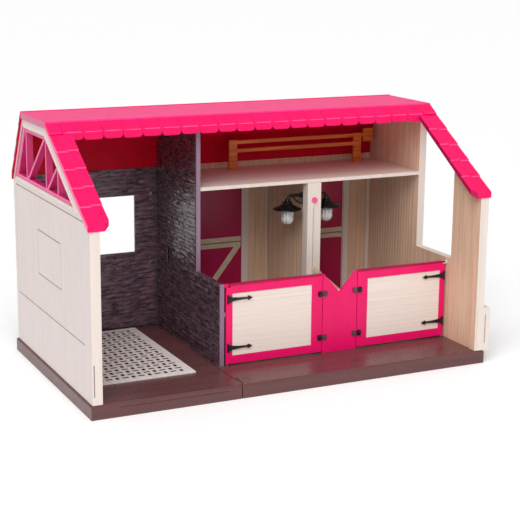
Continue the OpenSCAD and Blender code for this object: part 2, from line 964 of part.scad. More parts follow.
// The post is hollow below; its pocket opens to the right and is closed by the battery cover.
module stall_post() {
    groove = 2;
    color(cream) barn()
        difference() {
            block([post_l, post_y, base_h], [post_r, post_back, loft_z]);
            block(
                [post_l + post_wall, post_y + post_wall, base_h - 1],
                [post_r - post_wall, post_back - post_wall, pocket_z0 - post_wall]
            );
            block(
                [post_l + post_wall, post_y + post_wall, pocket_z0],
                [post_r + 1, post_back - post_wall, pocket_z1]
            );
            battery_seat(seat_clear);
            translate([stall_mid, post_y - 1, button_z])
                rotate([-90, 0, 0])
                    cylinder(r = button_r + pin_clear * 4, h = post_wall + 2);
            block(
                [stall_mid - groove / 2, post_y - 1, base_h + wing_back_h],
                [stall_mid + groove / 2, post_y + groove_d, button_z - button_r * 2]
            );
            translate([post_r - cover_t - 4, (post_y + post_back) / 2, pocket_z0 - post_wall / 2])
                rotate([0, 90, 0])
                    cylinder(r = screw_r, h = cover_t + 5);
        }
}

screw_r = 1.2;
screw_head_r = 2.4;
cover_lap = 1.5;

// The cover's outline in the right face of the post.
module battery_seat(clear) {
    block(
        [post_r - cover_t, post_y + post_wall - cover_lap - clear, pocket_z0 - 6 - clear],
        [
            post_r + (clear > 0 ? 1 : 0),
            post_back - post_wall + cover_lap + clear, pocket_z1 + cover_lap + clear
        ]
    );
}

module battery_cover() {
    color(cream) barn()
        difference() {
            battery_seat(0);
            translate([post_r - cover_t - 1, (post_y + post_back) / 2, pocket_z0 - post_wall / 2])
                rotate([0, 90, 0]) {
                    cylinder(r = screw_r + pin_clear, h = cover_t + 2);
                    translate([0, 0, cover_t])
                        cylinder(r = screw_head_r + pin_clear, h = 2);
                }
        }
}

module cover_screw() {
    color("silver") barn()
        translate([post_r - cover_t - 4, (post_y + post_back) / 2, pocket_z0 - post_wall / 2])
            rotate([0, 90, 0]) {
                cylinder(r = screw_r - pin_clear, h = cover_t + 3);
                translate([0, 0, cover_t + 3])
                    cylinder(r = screw_head_r, h = 1);
            }
}

// The button: a round head on a flange behind the post's front wall.
module light_button() {
    color(hot_pink) barn()
        translate([stall_mid, post_y - button_out, button_z])
            rotate([-90, 0, 0]) {
                cylinder(r = button_r, h = button_out + post_wall + flange_t);
                translate([0, 0, button_out + post_wall + pin_clear])
                    cylinder(r = flange_r, h = flange_t);
            }
}

module switch_board() {
    board_y = post_y + post_wall + flange_t + button_travel + pin_clear + stop_clear;
    color("green") barn()
        block(
            [stall_mid - button_r, board_y, button_z - button_r],
            [stall_mid + button_r, post_back - post_wall, button_z + button_r]
        );
}

module battery_cells() {
    color("gray") barn()
        for (i = [0, 1])
            translate([
                post_l + post_wall + cell_d / 2 + i * (cell_d + seat_clear),
                (post_y + post_back) / 2, pocket_z0
            ])
                cylinder(d = cell_d, h = cell_l);
}

// ---- Loft ----

// The board is a thin top skin with a deeper rim, and a land over the divider and the post.
module loft_board() {
    rim = 8;
    color(cream) barn()
        difference() {
            block([stall_l, loft_y, loft_z], [right_in, back_in, loft_top]);
            for (side = [0, 1]) {
                x0 = side == 0 ? stall_l + rim : post_r + rim;
                x1 = side == 0 ? post_l - rim : right_in - rim;
                block(
                    [x0, loft_y + rim, loft_z - 1],
                    [x1, back_in - rim, loft_top - loft_skin]
                );
            }
        }
}

module loft_rail() {
    x0 = stall_l + rail_set;
    x1 = right_in - rail_end;
    end_w = rail_post + 5;
    end_gap = 6;
    end_x = x1 - end_w;
    second_x = end_x - end_gap - rail_post;
    post_top = loft_top + rail_h;
    end_z = loft_top + rail_block;
    low_z = loft_top + rail_low;
    high_z = loft_top + rail_high;
    rear = rail_y + rail_t;
    color(orange_wood) barn() {
        for (x = [x0, second_x])
            block([x, rail_y, loft_top], [x + rail_post, rear, post_top]);
        block([end_x, rail_y, end_z], [x1, rear, post_top + rail_rise]);
        block([x0, rail_y, low_z], [second_x + rail_post, rear, low_z + rail_bar]);
        block([x0, rail_y, high_z], [x1, rear, high_z + rail_bar]);
    }
}

// ---- Roof ----

module roof_cap() {
    land = left_in + wall_rim;
    skirt_t = wall_inset;
    color(light_pink) barn()
        difference() {
            union() {
                block([0, cap_y, cap_under], [base_w, cap_back, roof_top]);
                block([0, cap_y, roof_top - skirt_h], [skirt_t, cap_back, roof_top]);
                block(
                    [base_w - skirt_t, cap_y, roof_top - skirt_h], [base_w, cap_back, roof_top]
                );
            }
            for (x = [land, stall_l + rake_w])
                block(
                    [x, cap_y + wall_rim, cap_under - 1],
                    [
                        x == land ? partition_x - wall_rim : base_w - land,
                        rim_back - wall_rim, roof_top - cap_skin
                    ]
                );
        }
}

// The lower edge of the front strip: shingles with cut corners at alternating levels.
tab_count = ceil((base_w - tab_first) / tab_pitch) + 1;
function tab_x(i) = tab_first + (i - 1) * tab_pitch;
function tab_z(i) = front_z(strip_y) - scallop_h + (i % 2) * tab_drop;

module scalloped_edge() {
    top = front_z(strip_y) - cap_t / 2;
    slab_y(strip_y, scallop_t)
        polygon(concat(
            [[tab_x(tab_count), top], [tab_x(0), top]],
            [
                for (i = [0 : tab_count - 1])
                    each [
                        [tab_x(i), tab_z(i) + tab_cut], [tab_x(i) + tab_cut, tab_z(i)],
                        [tab_x(i + 1) - tab_cut, tab_z(i)], [tab_x(i + 1), tab_z(i) + tab_cut]
                    ]
            ]
        ));
}

module roof_front_edge() {
    seam = 1;
    color(hot_pink) barn()
        difference() {
            union() {
                slab_x(0, base_w)
                    polygon([
                        [strip_y, front_z(strip_y) - cap_t], [cap_y, cap_under],
                        [cap_y, roof_top], [strip_y, front_z(strip_y)]
                    ]);
                intersection() {
                    scalloped_edge();
                    block([rake_w, 0, 0], [base_w - rake_w, base_d, roof_top]);
                }
            }
            for (i = [1 : tab_count - 1])
                slab_x(tab_x(i) - seam / 2, seam)
                    polygon([
                        [strip_y - 1, front_z(strip_y - 1) - seam], [cap_y, roof_top - seam],
                        [cap_y, roof_top + 1], [strip_y - 1, roof_top + 1]
                    ]);
        }
}

// Stepped shingle courses from the foot of the slope to its top, as points in y and z.
function rake_steps(shift) = [
    for (k = [1 : rake_courses - 1])
        let (y = strip_y * k / rake_courses + shift)
            each [[y, front_z(y) - course_step], [y, front_z(y)]]
];

// Part of a front slope, with its upper end let in under the front strip and the cap.
module rake_slab(x0, width, shift) {
    slab_x(x0, width)
        polygon(concat(
            [[0, rake_low - rake_v], [0, rake_low]],
            rake_steps(shift),
            [
                [strip_y, front_z(strip_y) - course_step],
                [strip_y, front_z(strip_y) - cap_t], [cap_y, cap_under],
                [rim_front, cap_under]
            ]
        ));
}

// The left front slope, drawn from its outer edge.
module rake() {
    half = rake_w / 2;
    difference() {
        union() {
            rake_slab(0, half, 0);
            rake_slab(half, rake_w - half, tab_drop);
        }
        block([-1, cap_y, 0], [wall_inset, base_d, roof_top]);
        translate([rake_w, 0, 0])
            rotate([0, 0, 45])
                translate([-rake_r / sqrt(2), -rake_r / sqrt(2), 0])
                    cube([rake_r * sqrt(2), rake_r * sqrt(2), roof_top]);
    }
}

module rake_left() {
    color(hot_pink) barn()
        rake();
}

module rake_right() {
    color(hot_pink) barn()
        translate([base_w, 0, 0])
            mirror([1, 0, 0])
                rake();
}

// The rear slope has stepped courses and a web that stands on the back wall.
module roof_rear() {
    drop = rear_drop(course_step / 2);
    run = (eave_y - cap_back) / rear_courses;
    web_z = base_h + back_h;
    color(hot_pink) barn() {
        slab_x(0, base_w)
            polygon(concat(
                [[cap_back, roof_top - rear_v], [cap_back, roof_top - drop]],
                [
                    for (k = [1 : rear_courses])
                        let (y = cap_back + run * k)
                            each k == rear_courses
                                ? [[y, rear_z(y)]]
                                : [[y, rear_z(y)], [y, rear_z(y) - drop]]
                ],
                [[eave_y, under_rear(eave_y)]]
            ));
        slab_x(left_in, right_in - left_in)
            polygon([
                [back_in, web_z], [back_in + web_t, web_z],
                [back_in + web_t, under_rear(back_in + web_t) + drop / 2],
                [back_in, under_rear(back_in) + drop / 2]
            ]);
    }
}

// ---- Front doors ----

// The hinge axis of each front door.
module front_axes() {
    translate([axis_x, axis_y, 0])
        children();
    across()
        translate([axis_x, axis_y, 0])
            children();
}

// Short pins: one in the floor and one in the lug above, for each door.
module front_pins() {
    color("silver") barn()
        front_axes() {
            translate([0, 0, base_h - pin_foot])
                cylinder(d = pin_d, h = pin_foot + door_lift + pin_in);
            translate([0, 0, door_top - lug_h - pin_in])
                cylinder(d = pin_d, h = lug_h + pin_in);
        }
}

module pin_lug() {
    difference() {
        union() {
            block([stall_l, door_y, door_top - lug_h], [axis_x, door_back, door_top]);
            translate([axis_x, axis_y, door_top - lug_h])
                cylinder(r = door_t / 2, h = lug_h);
        }
        translate([axis_x, axis_y, 0])
            cylinder(r = bore_r, h = roof_top);
    }
}

module pin_lugs() {
    color(hot_pink) barn() {
        pin_lug();
        across()
            pin_lug();
    }
}

// The space in a door that its infill panel takes.
module infill_block(y0, y1) {
    block(
        [door_l + hinge_stile, y0, door_z + bottom_rail],
        [door_r - close_stile, y1, door_top - top_rail]
    );
}

// A frame with a round hinged edge, bored for its pins and notched round the lug.
module door_frame() {
    notch_x = axis_x + door_t / 2 + 2;
    difference() {
        union() {
            block([axis_x, door_y, door_z], [door_r, door_back, door_top]);
            translate([axis_x, axis_y, door_z])
                cylinder(r = door_t / 2, h = door_h);
        }
        infill_block(door_y - 1, door_back + 1);
        block(
            [door_l - 1, door_y - 1, door_top - lug_h - stop_clear],
            [notch_x, door_back + 1, door_top + 1]
        );
        translate([axis_x, axis_y, door_z - 1])
            cylinder(r = bore_r, h = pin_in + 1 + stop_clear);
        translate([axis_x, axis_y, door_top - lug_h - pin_in - stop_clear])
            cylinder(r = bore_r, h = pin_in + lug_h);
    }
}

module door_panel() {
    y0 = door_y + infill_set;
    z0 = door_z + bottom_rail;
    z1 = door_top - top_rail;
    difference() {
        infill_block(y0, y0 + infill_t);
        for (z = [z0 + infill_pitch : infill_pitch : z1 - infill_pitch / 2])
            block(
                [door_l, y0 - 1, z - groove_d / 2],
                [door_r, y0 + groove_d / 2, z + groove_d / 2]
            );
    }
}

// A strap hinge: a square butt and a tapering blade with a round, pointed tip.
module strap(z) {
    tip_r = strap_h / 5;
    neck = strap_h / 6;
    tip_x = strap_l - 2 * tip_r;
    translate([door_l, 0, z])
        slab_y(door_y - strap_t, strap_t) {
            translate([0, -strap_h / 2])
                square([strap_butt, strap_h]);
            polygon([
                [strap_butt - 1, -strap_h / 3], [strap_butt - 1, strap_h / 3],
                [strap_butt + tip_r, neck], [tip_x, neck * 0.7],
                [tip_x, -neck * 0.7], [strap_butt + tip_r, -neck]
            ]);
            translate([tip_x, 0])
                circle(r = tip_r);
            polygon([[tip_x, tip_r * 0.8], [strap_l, 0], [tip_x, -tip_r * 0.8]]);
        }
}

module door_straps() {
    for (z = [strap_low, strap_high])
        strap(door_z + z);
}

// One half of a catch, with a round boss, ending at x.
module catch_half(x, z) {
    boss_r = catch_w / 3;
    plate = catch_t * 0.6;
    block([x - catch_w, door_y - plate, z - catch_h / 2], [x, door_y, z + catch_h / 2]);
    translate([x - catch_w / 2, door_y, z])
        rotate([90, 0, 0])
            cylinder(r = boss_r, h = catch_t);
}

module door_catches() {
    for (z = [catch_low, catch_high])
        catch_half(door_r, door_z + z);
}

module door_left_frame() {
    color(hot_pink) barn()
        door_frame();
}

module door_left_panel() {
    color(cream) barn()
        door_panel();
}

module door_left_straps() {
    color(black) barn()
        door_straps();
}

module door_left_catches() {
    color(black) barn()
        door_catches();
}

module door_right_frame() {
    color(hot_pink) barn()
        across()
            door_frame();
}

module door_right_panel() {
    color(cream) barn()
        across()
            door_panel();
}

module door_right_straps() {
    color(black) barn()
        across()
            door_straps();
}

module door_right_catches() {
    color(black) barn()
        across()
            door_catches();
}

// The fixed panel between the doors, notched at the top, with a stop behind each door.
module centre_panel() {
    color(hot_pink) barn() {
        slab_y(door_y, door_t)
            polygon([
                [centre_l, base_h], [centre_r, base_h], [centre_r, centre_z],
                [stall_mid, centre_z - notch_h], [centre_l, centre_z]
            ]);
        centre_stop();
        across()
            centre_stop();
    }
}

// An L-shaped strip on the panel's back that laps behind the closed door.
module centre_stop() {
    lap_y = door_back + stop_clear;
    block([centre_l - stop_lap, lap_y, door_z], [centre_l + stop_lap, lap_y + stop_t, centre_z - notch_h]);
    block([centre_l, door_back - 1, door_z], [centre_l + stop_lap, lap_y + 1, centre_z - notch_h]);
}

module centre_catches() {
    color(black) barn()
        for (z = [catch_low, catch_high]) {
            catch_half(centre_l + catch_w, door_z + z);
            catch_half(centre_r, door_z + z);
        }
}

// ---- Rear doors ----

// Both doorways; the right one is the mirror image of the left one.
module doorway_left() {
    translate([rear_left_x, 0, 0])
        children();
}

module doorway_right() {
    translate([rear_right_x + rear_w, 0, 0])
        mirror([1, 0, 0])
            children();
}

module rear_frame() {
    stop_x = rear_w - rear_stop_w;
    difference() {
        block(
            [-rear_trim_w, frame_front, base_h],
            [rear_w + rear_trim_w, frame_back, rear_z1 + rear_trim_w]
        );
        difference() {
            block([0, frame_front - 1, rear_z0], [rear_w, frame_back + 1, rear_z1]);
            block([stop_x, frame_front, rear_z0], [rear_w, back_in, rear_z1]);
        }
        translate([leaf_axis_x, leaf_axis_y, rear_z0 - rod_in])
            cylinder(r = rod_r, h = rear_h + 2 * rod_in);
    }
}

module rear_frame_left() {
    color(cream) barn()
        doorway_left()
            rear_frame();
}

module rear_frame_right() {
    color(cream) barn()
        doorway_right()
            rear_frame();
}

module rear_rod() {
    translate([leaf_axis_x, leaf_axis_y, rear_z0 - rod_in])
        cylinder(d = rod_d, h = rear_h + 2 * rod_in);
}

module rear_rods() {
    color("silver") barn() {
        doorway_left()
            rear_rod();
        doorway_right()
            rear_rod();
    }
}

// One leaf of a rear door, with a round hinged edge on its rod.
module leaf(z0, z1) {
    difference() {
        union() {
            block([leaf_axis_x, leaf_front, z0], [rear_w - leaf_gap, leaf_front + leaf_t, z1]);
            translate([leaf_axis_x, leaf_axis_y, z0])
                cylinder(d = leaf_t, h = z1 - z0);
        }
        translate([leaf_axis_x, leaf_axis_y, z0 - 1])
            cylinder(r = rod_r, h = z1 - z0 + 2);
    }
}

lower_z0 = rear_z0 + leaf_gap;
lower_z1 = split_z - leaf_gap / 2;
upper_z0 = split_z + leaf_gap / 2;
upper_z1 = rear_z1 - leaf_gap;

module rear_left_lower() {
    color(magenta) barn()
        doorway_left()
            leaf(lower_z0, lower_z1);
}

module rear_left_upper() {
    color(magenta) barn()
        doorway_left()
            leaf(upper_z0, upper_z1);
}

module rear_right_lower() {
    color(magenta) barn()
        doorway_right()
            leaf(lower_z0, lower_z1);
}

module rear_right_upper() {
    color(magenta) barn()
        doorway_right()
            leaf(upper_z0, upper_z1);
}

// Where the rails and braces lie on a leaf.
bars_l = leaf_axis_x + leaf_t;
bars_r = rear_w - rear_stop_w - leaf_gap - 1;

// A brace between two corners of the field inside the rails.
module brace(z0, z1, rising) {
    length = norm([bars_r - bars_l, z1 - z0]);
    angle = atan2(z1 - z0, bars_r - bars_l) * (rising ? 1 : -1);
    intersection() {
        translate([(bars_l + bars_r) / 2, (z0 + z1) / 2])
            rotate([0, 0, angle])
                square([length * 1.2, leaf_brace], center = true);
        translate([bars_l, z0])
            square([bars_r - bars_l, z1 - z0]);
    }
}

// A rail along the joint and a brace inside; a border with a crossed brace outside.
module leaf_bars(z0, z1, rail_z, inner_brace) {
    slab_y(leaf_front - leaf_bar_t, leaf_bar_t) {
        translate([bars_l, rail_z])
            square([bars_r - bars_l, leaf_rail]);
        if (inner_brace)
            brace(z0 + leaf_gap, z1 - leaf_gap, true);
    }
    slab_y(leaf_front + leaf_t, leaf_bar_t) {
        difference() {
            translate([bars_l, z0 + leaf_gap])
                square([bars_r - bars_l, z1 - z0 - 2 * leaf_gap]);
            translate([bars_l + leaf_rail, z0 + leaf_gap + leaf_rail])
                square([
                    bars_r - bars_l - 2 * leaf_rail, z1 - z0 - 2 * leaf_gap - 2 * leaf_rail
                ]);
        }
        brace(z0 + leaf_rail, z1 - leaf_rail, true);
        brace(z0 + leaf_rail, z1 - leaf_rail, false);
    }
}

module rear_left_lower_bars() {
    color(cream) barn()
        doorway_left()
            leaf_bars(lower_z0, lower_z1, lower_z1 - leaf_gap - leaf_rail, true);
}

module rear_left_upper_bars() {
    color(cream) barn()
        doorway_left()
            leaf_bars(upper_z0, upper_z1, upper_z0 + leaf_gap, false);
}

module rear_right_lower_bars() {
    color(cream) barn()
        doorway_right()
            leaf_bars(lower_z0, lower_z1, lower_z1 - leaf_gap - leaf_rail, true);
}

module rear_right_upper_bars() {
    color(cream) barn()
        doorway_right()
            leaf_bars(upper_z0, upper_z1, upper_z0 + leaf_gap, false);
}

// ---- Lamps ----

// Places a lamp on each side of the divider, drawn with the divider on its +x side.
module lamp_left() {
    translate([stall_mid - lamp_x, lamp_y, brim_z])
        children();
}

module lamp_right() {
    translate([stall_mid + lamp_x, lamp_y, brim_z])
        mirror([1, 0, 0])
            children();
}

// A wall plate with a bent arm that comes down on the shade's hub.
module lamp_arm() {
    arm_z = hub_top + bend_r;
    plate_top = arm_z + arm_r + 3;
    translate([bend_r, 0, hub_top])
        rotate([90, 0, 0])
            rotate([0, 0, 90])
                rotate_extrude(angle = 90)
                    translate([bend_r, 0])
                        circle(r = arm_r);
    translate([bend_r, 0, arm_z])
        rotate([0, 90, 0])
            cylinder(r = arm_r, h = arm_run - bend_r + 1);
    block([arm_run, -plate_w / 2, plate_top - plate_h], [arm_run + plate_t, plate_w / 2, plate_top]);
}

module lamp_arms() {
    color(black) barn() {
        lamp_left()
            lamp_arm();
        lamp_right()
            lamp_arm();
    }
}

// A shallow cone under a hub, with a solid holder for the glass in the middle.
module lamp_shade() {
    under_z = shade_h * (shade_r - shade_t - glass_r) / (shade_r - hub_r);
    rotate_extrude()
        polygon([
            [0, 0], [glass_r, 0], [glass_r, under_z],
            [shade_r - shade_t, 0], [shade_r, 0], [shade_r, shade_t],
            [hub_r, shade_h + shade_t], [hub_r, hub_top], [0, hub_top]
        ]);
}

module lamp_shade_left() {
    color(black) barn()
        lamp_left()
            lamp_shade();
}

module lamp_shade_right() {
    color(black) barn()
        lamp_right()
            lamp_shade();
}

// A jar with a rounded foot, open at the top where it meets its holder.
function jar_points(r, low, turn) = [
    for (i = [0 : 6])
        let (a = 90 * (turn ? 6 - i : i) / 6)
            [r * 0.4 + r * 0.6 * cos(a), -low + r * 0.6 * (1 - sin(a))]
];

module lamp_glass() {
    inner = glass_r - glass_t;
    rotate_extrude()
        polygon(concat(
            [[inner, 0], [glass_r, 0]],
            jar_points(glass_r, glass_h, false),
            [[0, -glass_h], [0, -glass_h + glass_t]],
            jar_points(inner, glass_h - glass_t, true)
        ));
}

module lamp_glass_left() {
    color("whitesmoke") barn()
        lamp_left()
            lamp_glass();
}

module lamp_glass_right() {
    color("whitesmoke") barn()
        lamp_right()
            lamp_glass();
}

module lamp_bulb() {
    translate([0, 0, -bulb_l + bulb_r])
        cylinder(r = bulb_r, h = bulb_l - bulb_r);
    translate([0, 0, -bulb_l + bulb_r])
        sphere(r = bulb_r);
}

module lamp_bulbs() {
    color("ivory") barn() {
        lamp_left()
            lamp_bulb();
        lamp_right()
            lamp_bulb();
    }
}

// ---- Wash bay tap ----

// A wall plate on the partition, a rising pipe, a hooked spout and a cross handle.
module wash_tap() {
    pipe_r = 3;
    plate = 4;
    reach = 16;
    rise = 34;
    tap_z = base_h + tap_h;
    color(black) barn() {
        block(
            [partition_x - plate, tap_y - 2 * pipe_r, tap_z - 2 * pipe_r],
            [partition_x, tap_y + 2 * pipe_r, tap_z + rise]
        );
        translate([partition_x - plate - pipe_r, tap_y, tap_z - pipe_r])
            cylinder(r = pipe_r + 0.5, h = rise);
        translate([partition_x - plate + 1, tap_y, tap_z])
            rotate([0, -90, 0])
                cylinder(r = pipe_r, h = reach);
        translate([partition_x - plate - reach + pipe_r, tap_y, tap_z - 3 * pipe_r])
            cylinder(r = pipe_r, h = 3 * pipe_r);
        translate([partition_x - plate - pipe_r, tap_y, tap_z + rise / 2])
            rotate([90, 0, 0])
                translate([0, 0, -4 * pipe_r])
                    cylinder(r = pipe_r / 2, h = 8 * pipe_r);
    }
}

base_left();
base_right();
base_joiners();
drain_tray();
end_wall_left();
end_wall_right();
foot_right();
gable_truss();
back_wall_bay();
back_wall_stalls();
partition();
partition_edges();
stall_divider();
divider_wing();
stall_post();
battery_cover();
cover_screw();
light_button();
switch_board();
battery_cells();
loft_board();
loft_rail();
roof_cap();
roof_front_edge();
rake_left();
rake_right();
roof_rear();
front_pins();
pin_lugs();
centre_panel();
centre_catches();
door_left_frame();
door_left_panel();
door_left_straps();
door_left_catches();
door_right_frame();
door_right_panel();
door_right_straps();
door_right_catches();
rear_frame_left();
rear_frame_right();
rear_rods();
rear_left_lower();
rear_left_upper();
rear_right_lower();
rear_right_upper();
rear_left_lower_bars();
rear_left_upper_bars();
rear_right_lower_bars();
rear_right_upper_bars();
lamp_arms();
lamp_shade_left();
lamp_shade_right();
lamp_glass_left();
lamp_glass_right();
lamp_bulbs();
wash_tap();
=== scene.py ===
"""Looks of the toy barn: rounded mouldings, stone, shingles, lamps, materials, camera and light."""

import json
import math
import random

import bmesh
import bpy
from mathutils import Matrix, Vector

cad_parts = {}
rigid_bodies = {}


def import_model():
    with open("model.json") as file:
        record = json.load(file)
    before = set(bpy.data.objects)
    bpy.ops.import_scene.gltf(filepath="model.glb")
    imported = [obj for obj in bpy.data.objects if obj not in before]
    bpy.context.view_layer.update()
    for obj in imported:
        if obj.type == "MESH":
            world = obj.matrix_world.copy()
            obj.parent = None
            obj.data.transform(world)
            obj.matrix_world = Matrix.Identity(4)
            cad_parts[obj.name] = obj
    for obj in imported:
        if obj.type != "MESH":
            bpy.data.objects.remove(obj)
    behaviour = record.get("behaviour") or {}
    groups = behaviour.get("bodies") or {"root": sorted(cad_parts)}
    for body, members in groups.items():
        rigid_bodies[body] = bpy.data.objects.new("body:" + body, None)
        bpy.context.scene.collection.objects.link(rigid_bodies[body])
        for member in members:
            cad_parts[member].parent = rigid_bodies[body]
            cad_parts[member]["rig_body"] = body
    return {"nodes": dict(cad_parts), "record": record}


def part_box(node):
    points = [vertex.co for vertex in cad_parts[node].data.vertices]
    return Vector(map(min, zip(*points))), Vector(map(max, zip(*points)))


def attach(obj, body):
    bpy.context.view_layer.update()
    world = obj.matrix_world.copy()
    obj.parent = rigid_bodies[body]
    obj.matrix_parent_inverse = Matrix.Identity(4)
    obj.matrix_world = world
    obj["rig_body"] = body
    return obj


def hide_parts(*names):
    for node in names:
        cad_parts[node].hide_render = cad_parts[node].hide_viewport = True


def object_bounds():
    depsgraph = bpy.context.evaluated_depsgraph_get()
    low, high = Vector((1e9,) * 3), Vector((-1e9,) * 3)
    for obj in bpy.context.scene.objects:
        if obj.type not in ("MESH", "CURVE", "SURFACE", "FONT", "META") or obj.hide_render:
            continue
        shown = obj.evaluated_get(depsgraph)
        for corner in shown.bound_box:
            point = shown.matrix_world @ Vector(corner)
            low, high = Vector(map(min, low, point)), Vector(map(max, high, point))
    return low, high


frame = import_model()
cad_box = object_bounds()

MM = 0.001
# Points within WELD become one, and places within NEAR count as the same
WELD = 0.01 * MM
NEAR = 0.1 * MM
# Edges sharper than this are rounded or kept sharp in the light
SHARP = math.radians(40)
# Width of the moulding in the corner of the wash bay
STRIP_W = 7 * MM
# How far the stones stand out of the back wall and of the partition
WALL_STONE = 2.4 * MM
SIDE_STONE = 2.6 * MM
# Height of the front slopes' butt ends
RAKE_V = 13 * MM
# Width of a shingle, and of the first one on the left
TAB_PITCH = 43.3 * MM
TAB_FIRST = 29.4 * MM
# Depth of the lines in the left wall
LINE_DEPTH = 1.0 * MM

slot_of = {part["node"]: part["material_slot"] for part in frame["record"]["subparts"]}


# ---- Materials ----


def srgb(red, green, blue):
    """A colour as it looks on screen, 0 to 255, in the linear values that shaders use."""

    def linear(value):
        value /= 255
        return value / 12.92 if value <= 0.04045 else ((value + 0.055) / 1.055) ** 2.4

    return (linear(red), linear(green), linear(blue), 1.0)


def add_node(tree, kind, **values):
    """Adds a node and sets its inputs, or else its properties, by name."""
    node = tree.nodes.new(kind)
    for key, value in values.items():
        if key in node.inputs:
            node.inputs[key].default_value = value
        else:
            setattr(node, key, value)
    return node


def noise_along(tree, stretch, scale, detail=4.0, roughness=0.55):
    """Noise in the part's own space, stretched by a factor along each axis."""
    place = add_node(tree, "ShaderNodeTexCoord")
    mapping = add_node(tree, "ShaderNodeMapping", Scale=stretch)
    noise = add_node(tree, "ShaderNodeTexNoise", Scale=scale, Detail=detail, Roughness=roughness)
    tree.links.new(place.outputs["Object"], mapping.inputs["Vector"])
    tree.links.new(mapping.outputs["Vector"], noise.inputs["Vector"])
    return noise.outputs["Fac"]


def spread(tree, value, low, high, to_low=0.0, to_high=1.0):
    """Maps the stretch of a value between low and high onto another one."""
    node = add_node(tree, "ShaderNodeMapRange")
    node.inputs["From Min"].default_value = low
    node.inputs["From Max"].default_value = high
    node.inputs["To Min"].default_value = to_low
    node.inputs["To Max"].default_value = to_high
    tree.links.new(value, node.inputs["Value"])
    return node.outputs["Result"]


def blend_colours(tree, factor, first, second):
    """Mixes two colours, each a constant or a socket, by a factor."""
    node = add_node(tree, "ShaderNodeMix", data_type="RGBA")
    tree.links.new(factor, node.inputs[0])
    for socket, colour in ((node.inputs[6], first), (node.inputs[7], second)):
        if isinstance(colour, tuple):
            socket.default_value = colour
        else:
            tree.links.new(colour, socket)
    return node.outputs[2]


def plastic(
    name,
    light,
    dark,
    rough=(0.3, 0.42),
    grain=(1, 1, 1),
    grain_scale=45,
    grain_range=(0.35, 0.65),
    bump=0.15,
    bump_mm=0.15,
    bump_grain=None,
    bump_scale=260,
    coat=0.0,
    specular=0.5,
):
    """Moulded plastic: two tones that waver along a grain, uneven gloss and a fine bumpy skin.

    The tones hold red, green and blue as on screen. rough holds the least and most roughness.
    """
    material = bpy.data.materials.new(name)
    material.use_nodes = True
    tree = material.node_tree
    shader = tree.nodes["Principled BSDF"]
    streaks = noise_along(tree, grain, grain_scale)
    share = spread(tree, streaks, *grain_range)
    tones = blend_colours(tree, share, srgb(*dark), srgb(*light))
    tree.links.new(tones, shader.inputs["Base Color"])
    skin = noise_along(tree, bump_grain or grain, bump_scale, 3.0)
    tree.links.new(spread(tree, skin, 0.3, 0.7, *rough), shader.inputs["Roughness"])
    relief = add_node(tree, "ShaderNodeBump", Strength=bump, Distance=bump_mm * MM)
    tree.links.new(skin, relief.inputs["Height"])
    tree.links.new(relief.outputs["Normal"], shader.inputs["Normal"])
    shader.inputs["Coat Weight"].default_value = coat
    shader.inputs["Coat Roughness"].default_value = 0.12
    shader.inputs["Specular IOR Level"].default_value = specular
    return material


def tray_with_painted_shade():
    """Pale plastic with painted shade: near black on the slot walls below the tray's top face, where
    real shade falls in the recesses.
    """
    low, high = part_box("drain_tray")
    material = plastic(
        "cream_tray", (232, 224, 222), (222, 212, 208), (0.36, 0.5), grain_scale=60
    )
    tree = material.node_tree
    shader = tree.nodes["Principled BSDF"]
    place = add_node(tree, "ShaderNodeTexCoord")
    axes = add_node(tree, "ShaderNodeSeparateXYZ")
    tree.links.new(place.outputs["Object"], axes.inputs["Vector"])
    rim = 3 * MM
    fade = MM
    shade_from = 0.4 * MM
    shade_to = 0.9 * MM
    # Painted shade: faces 0.4 to 0.9 mm and more below the top, away from the front and right rims,
    # turn dark
    painted_slot_shade = spread(tree, axes.outputs["Z"], high.z - shade_from, high.z - shade_to)
    from_front = spread(tree, axes.outputs["Y"], low.y + rim, low.y + rim + fade)
    from_right = spread(tree, axes.outputs["X"], high.x - rim, high.x - rim - fade)
    for inside in (from_front, from_right):
        both = add_node(tree, "ShaderNodeMath", operation="MULTIPLY")
        tree.links.new(painted_slot_shade, both.inputs[0])
        tree.links.new(inside, both.inputs[1])
        painted_slot_shade = both.outputs[0]
    # srgb(36, 24, 24) is the painted shade's colour, mixed over the plastic's tones
    plain = shader.inputs["Base Color"].links[0].from_socket
    dark = blend_colours(tree, painted_slot_shade, plain, srgb(36, 24, 24))
    tree.links.new(dark, shader.inputs["Base Color"])
    return material


def clear_plastic(name, tint):
    """See-through plastic: half clear, with a glossy coat and a roughness that wavers a little."""
    material = bpy.data.materials.new(name)
    material.use_nodes = True
    tree = material.node_tree
    shader = tree.nodes["Principled BSDF"]
    shader.inputs["Base Color"].default_value = srgb(*tint)
    shader.inputs["Transmission Weight"].default_value = 0.5
    shader.inputs["IOR"].default_value = 1.45
    shader.inputs["Coat Weight"].default_value = 1.0
    shader.inputs["Coat Roughness"].default_value = 0.05
    waver = noise_along(tree, (1, 1, 1), 90)
    tree.links.new(spread(tree, waver, 0.3, 0.7, 0.04, 0.12), shader.inputs["Roughness"])
    return material


def metal(name, light, dark):
    """Drawn metal with fine streaks."""
    material = plastic(name, light, dark, (0.25, 0.4), grain=(1, 1, 0.05), grain_scale=400)
    material.node_tree.nodes["Principled BSDF"].inputs["Metallic"].default_value = 0.9
    return material


# Stretch of a grain that runs upright, and of one that runs along x
UPRIGHT = (1, 1, 0.04)
LEVEL_X = (0.05, 1, 1)

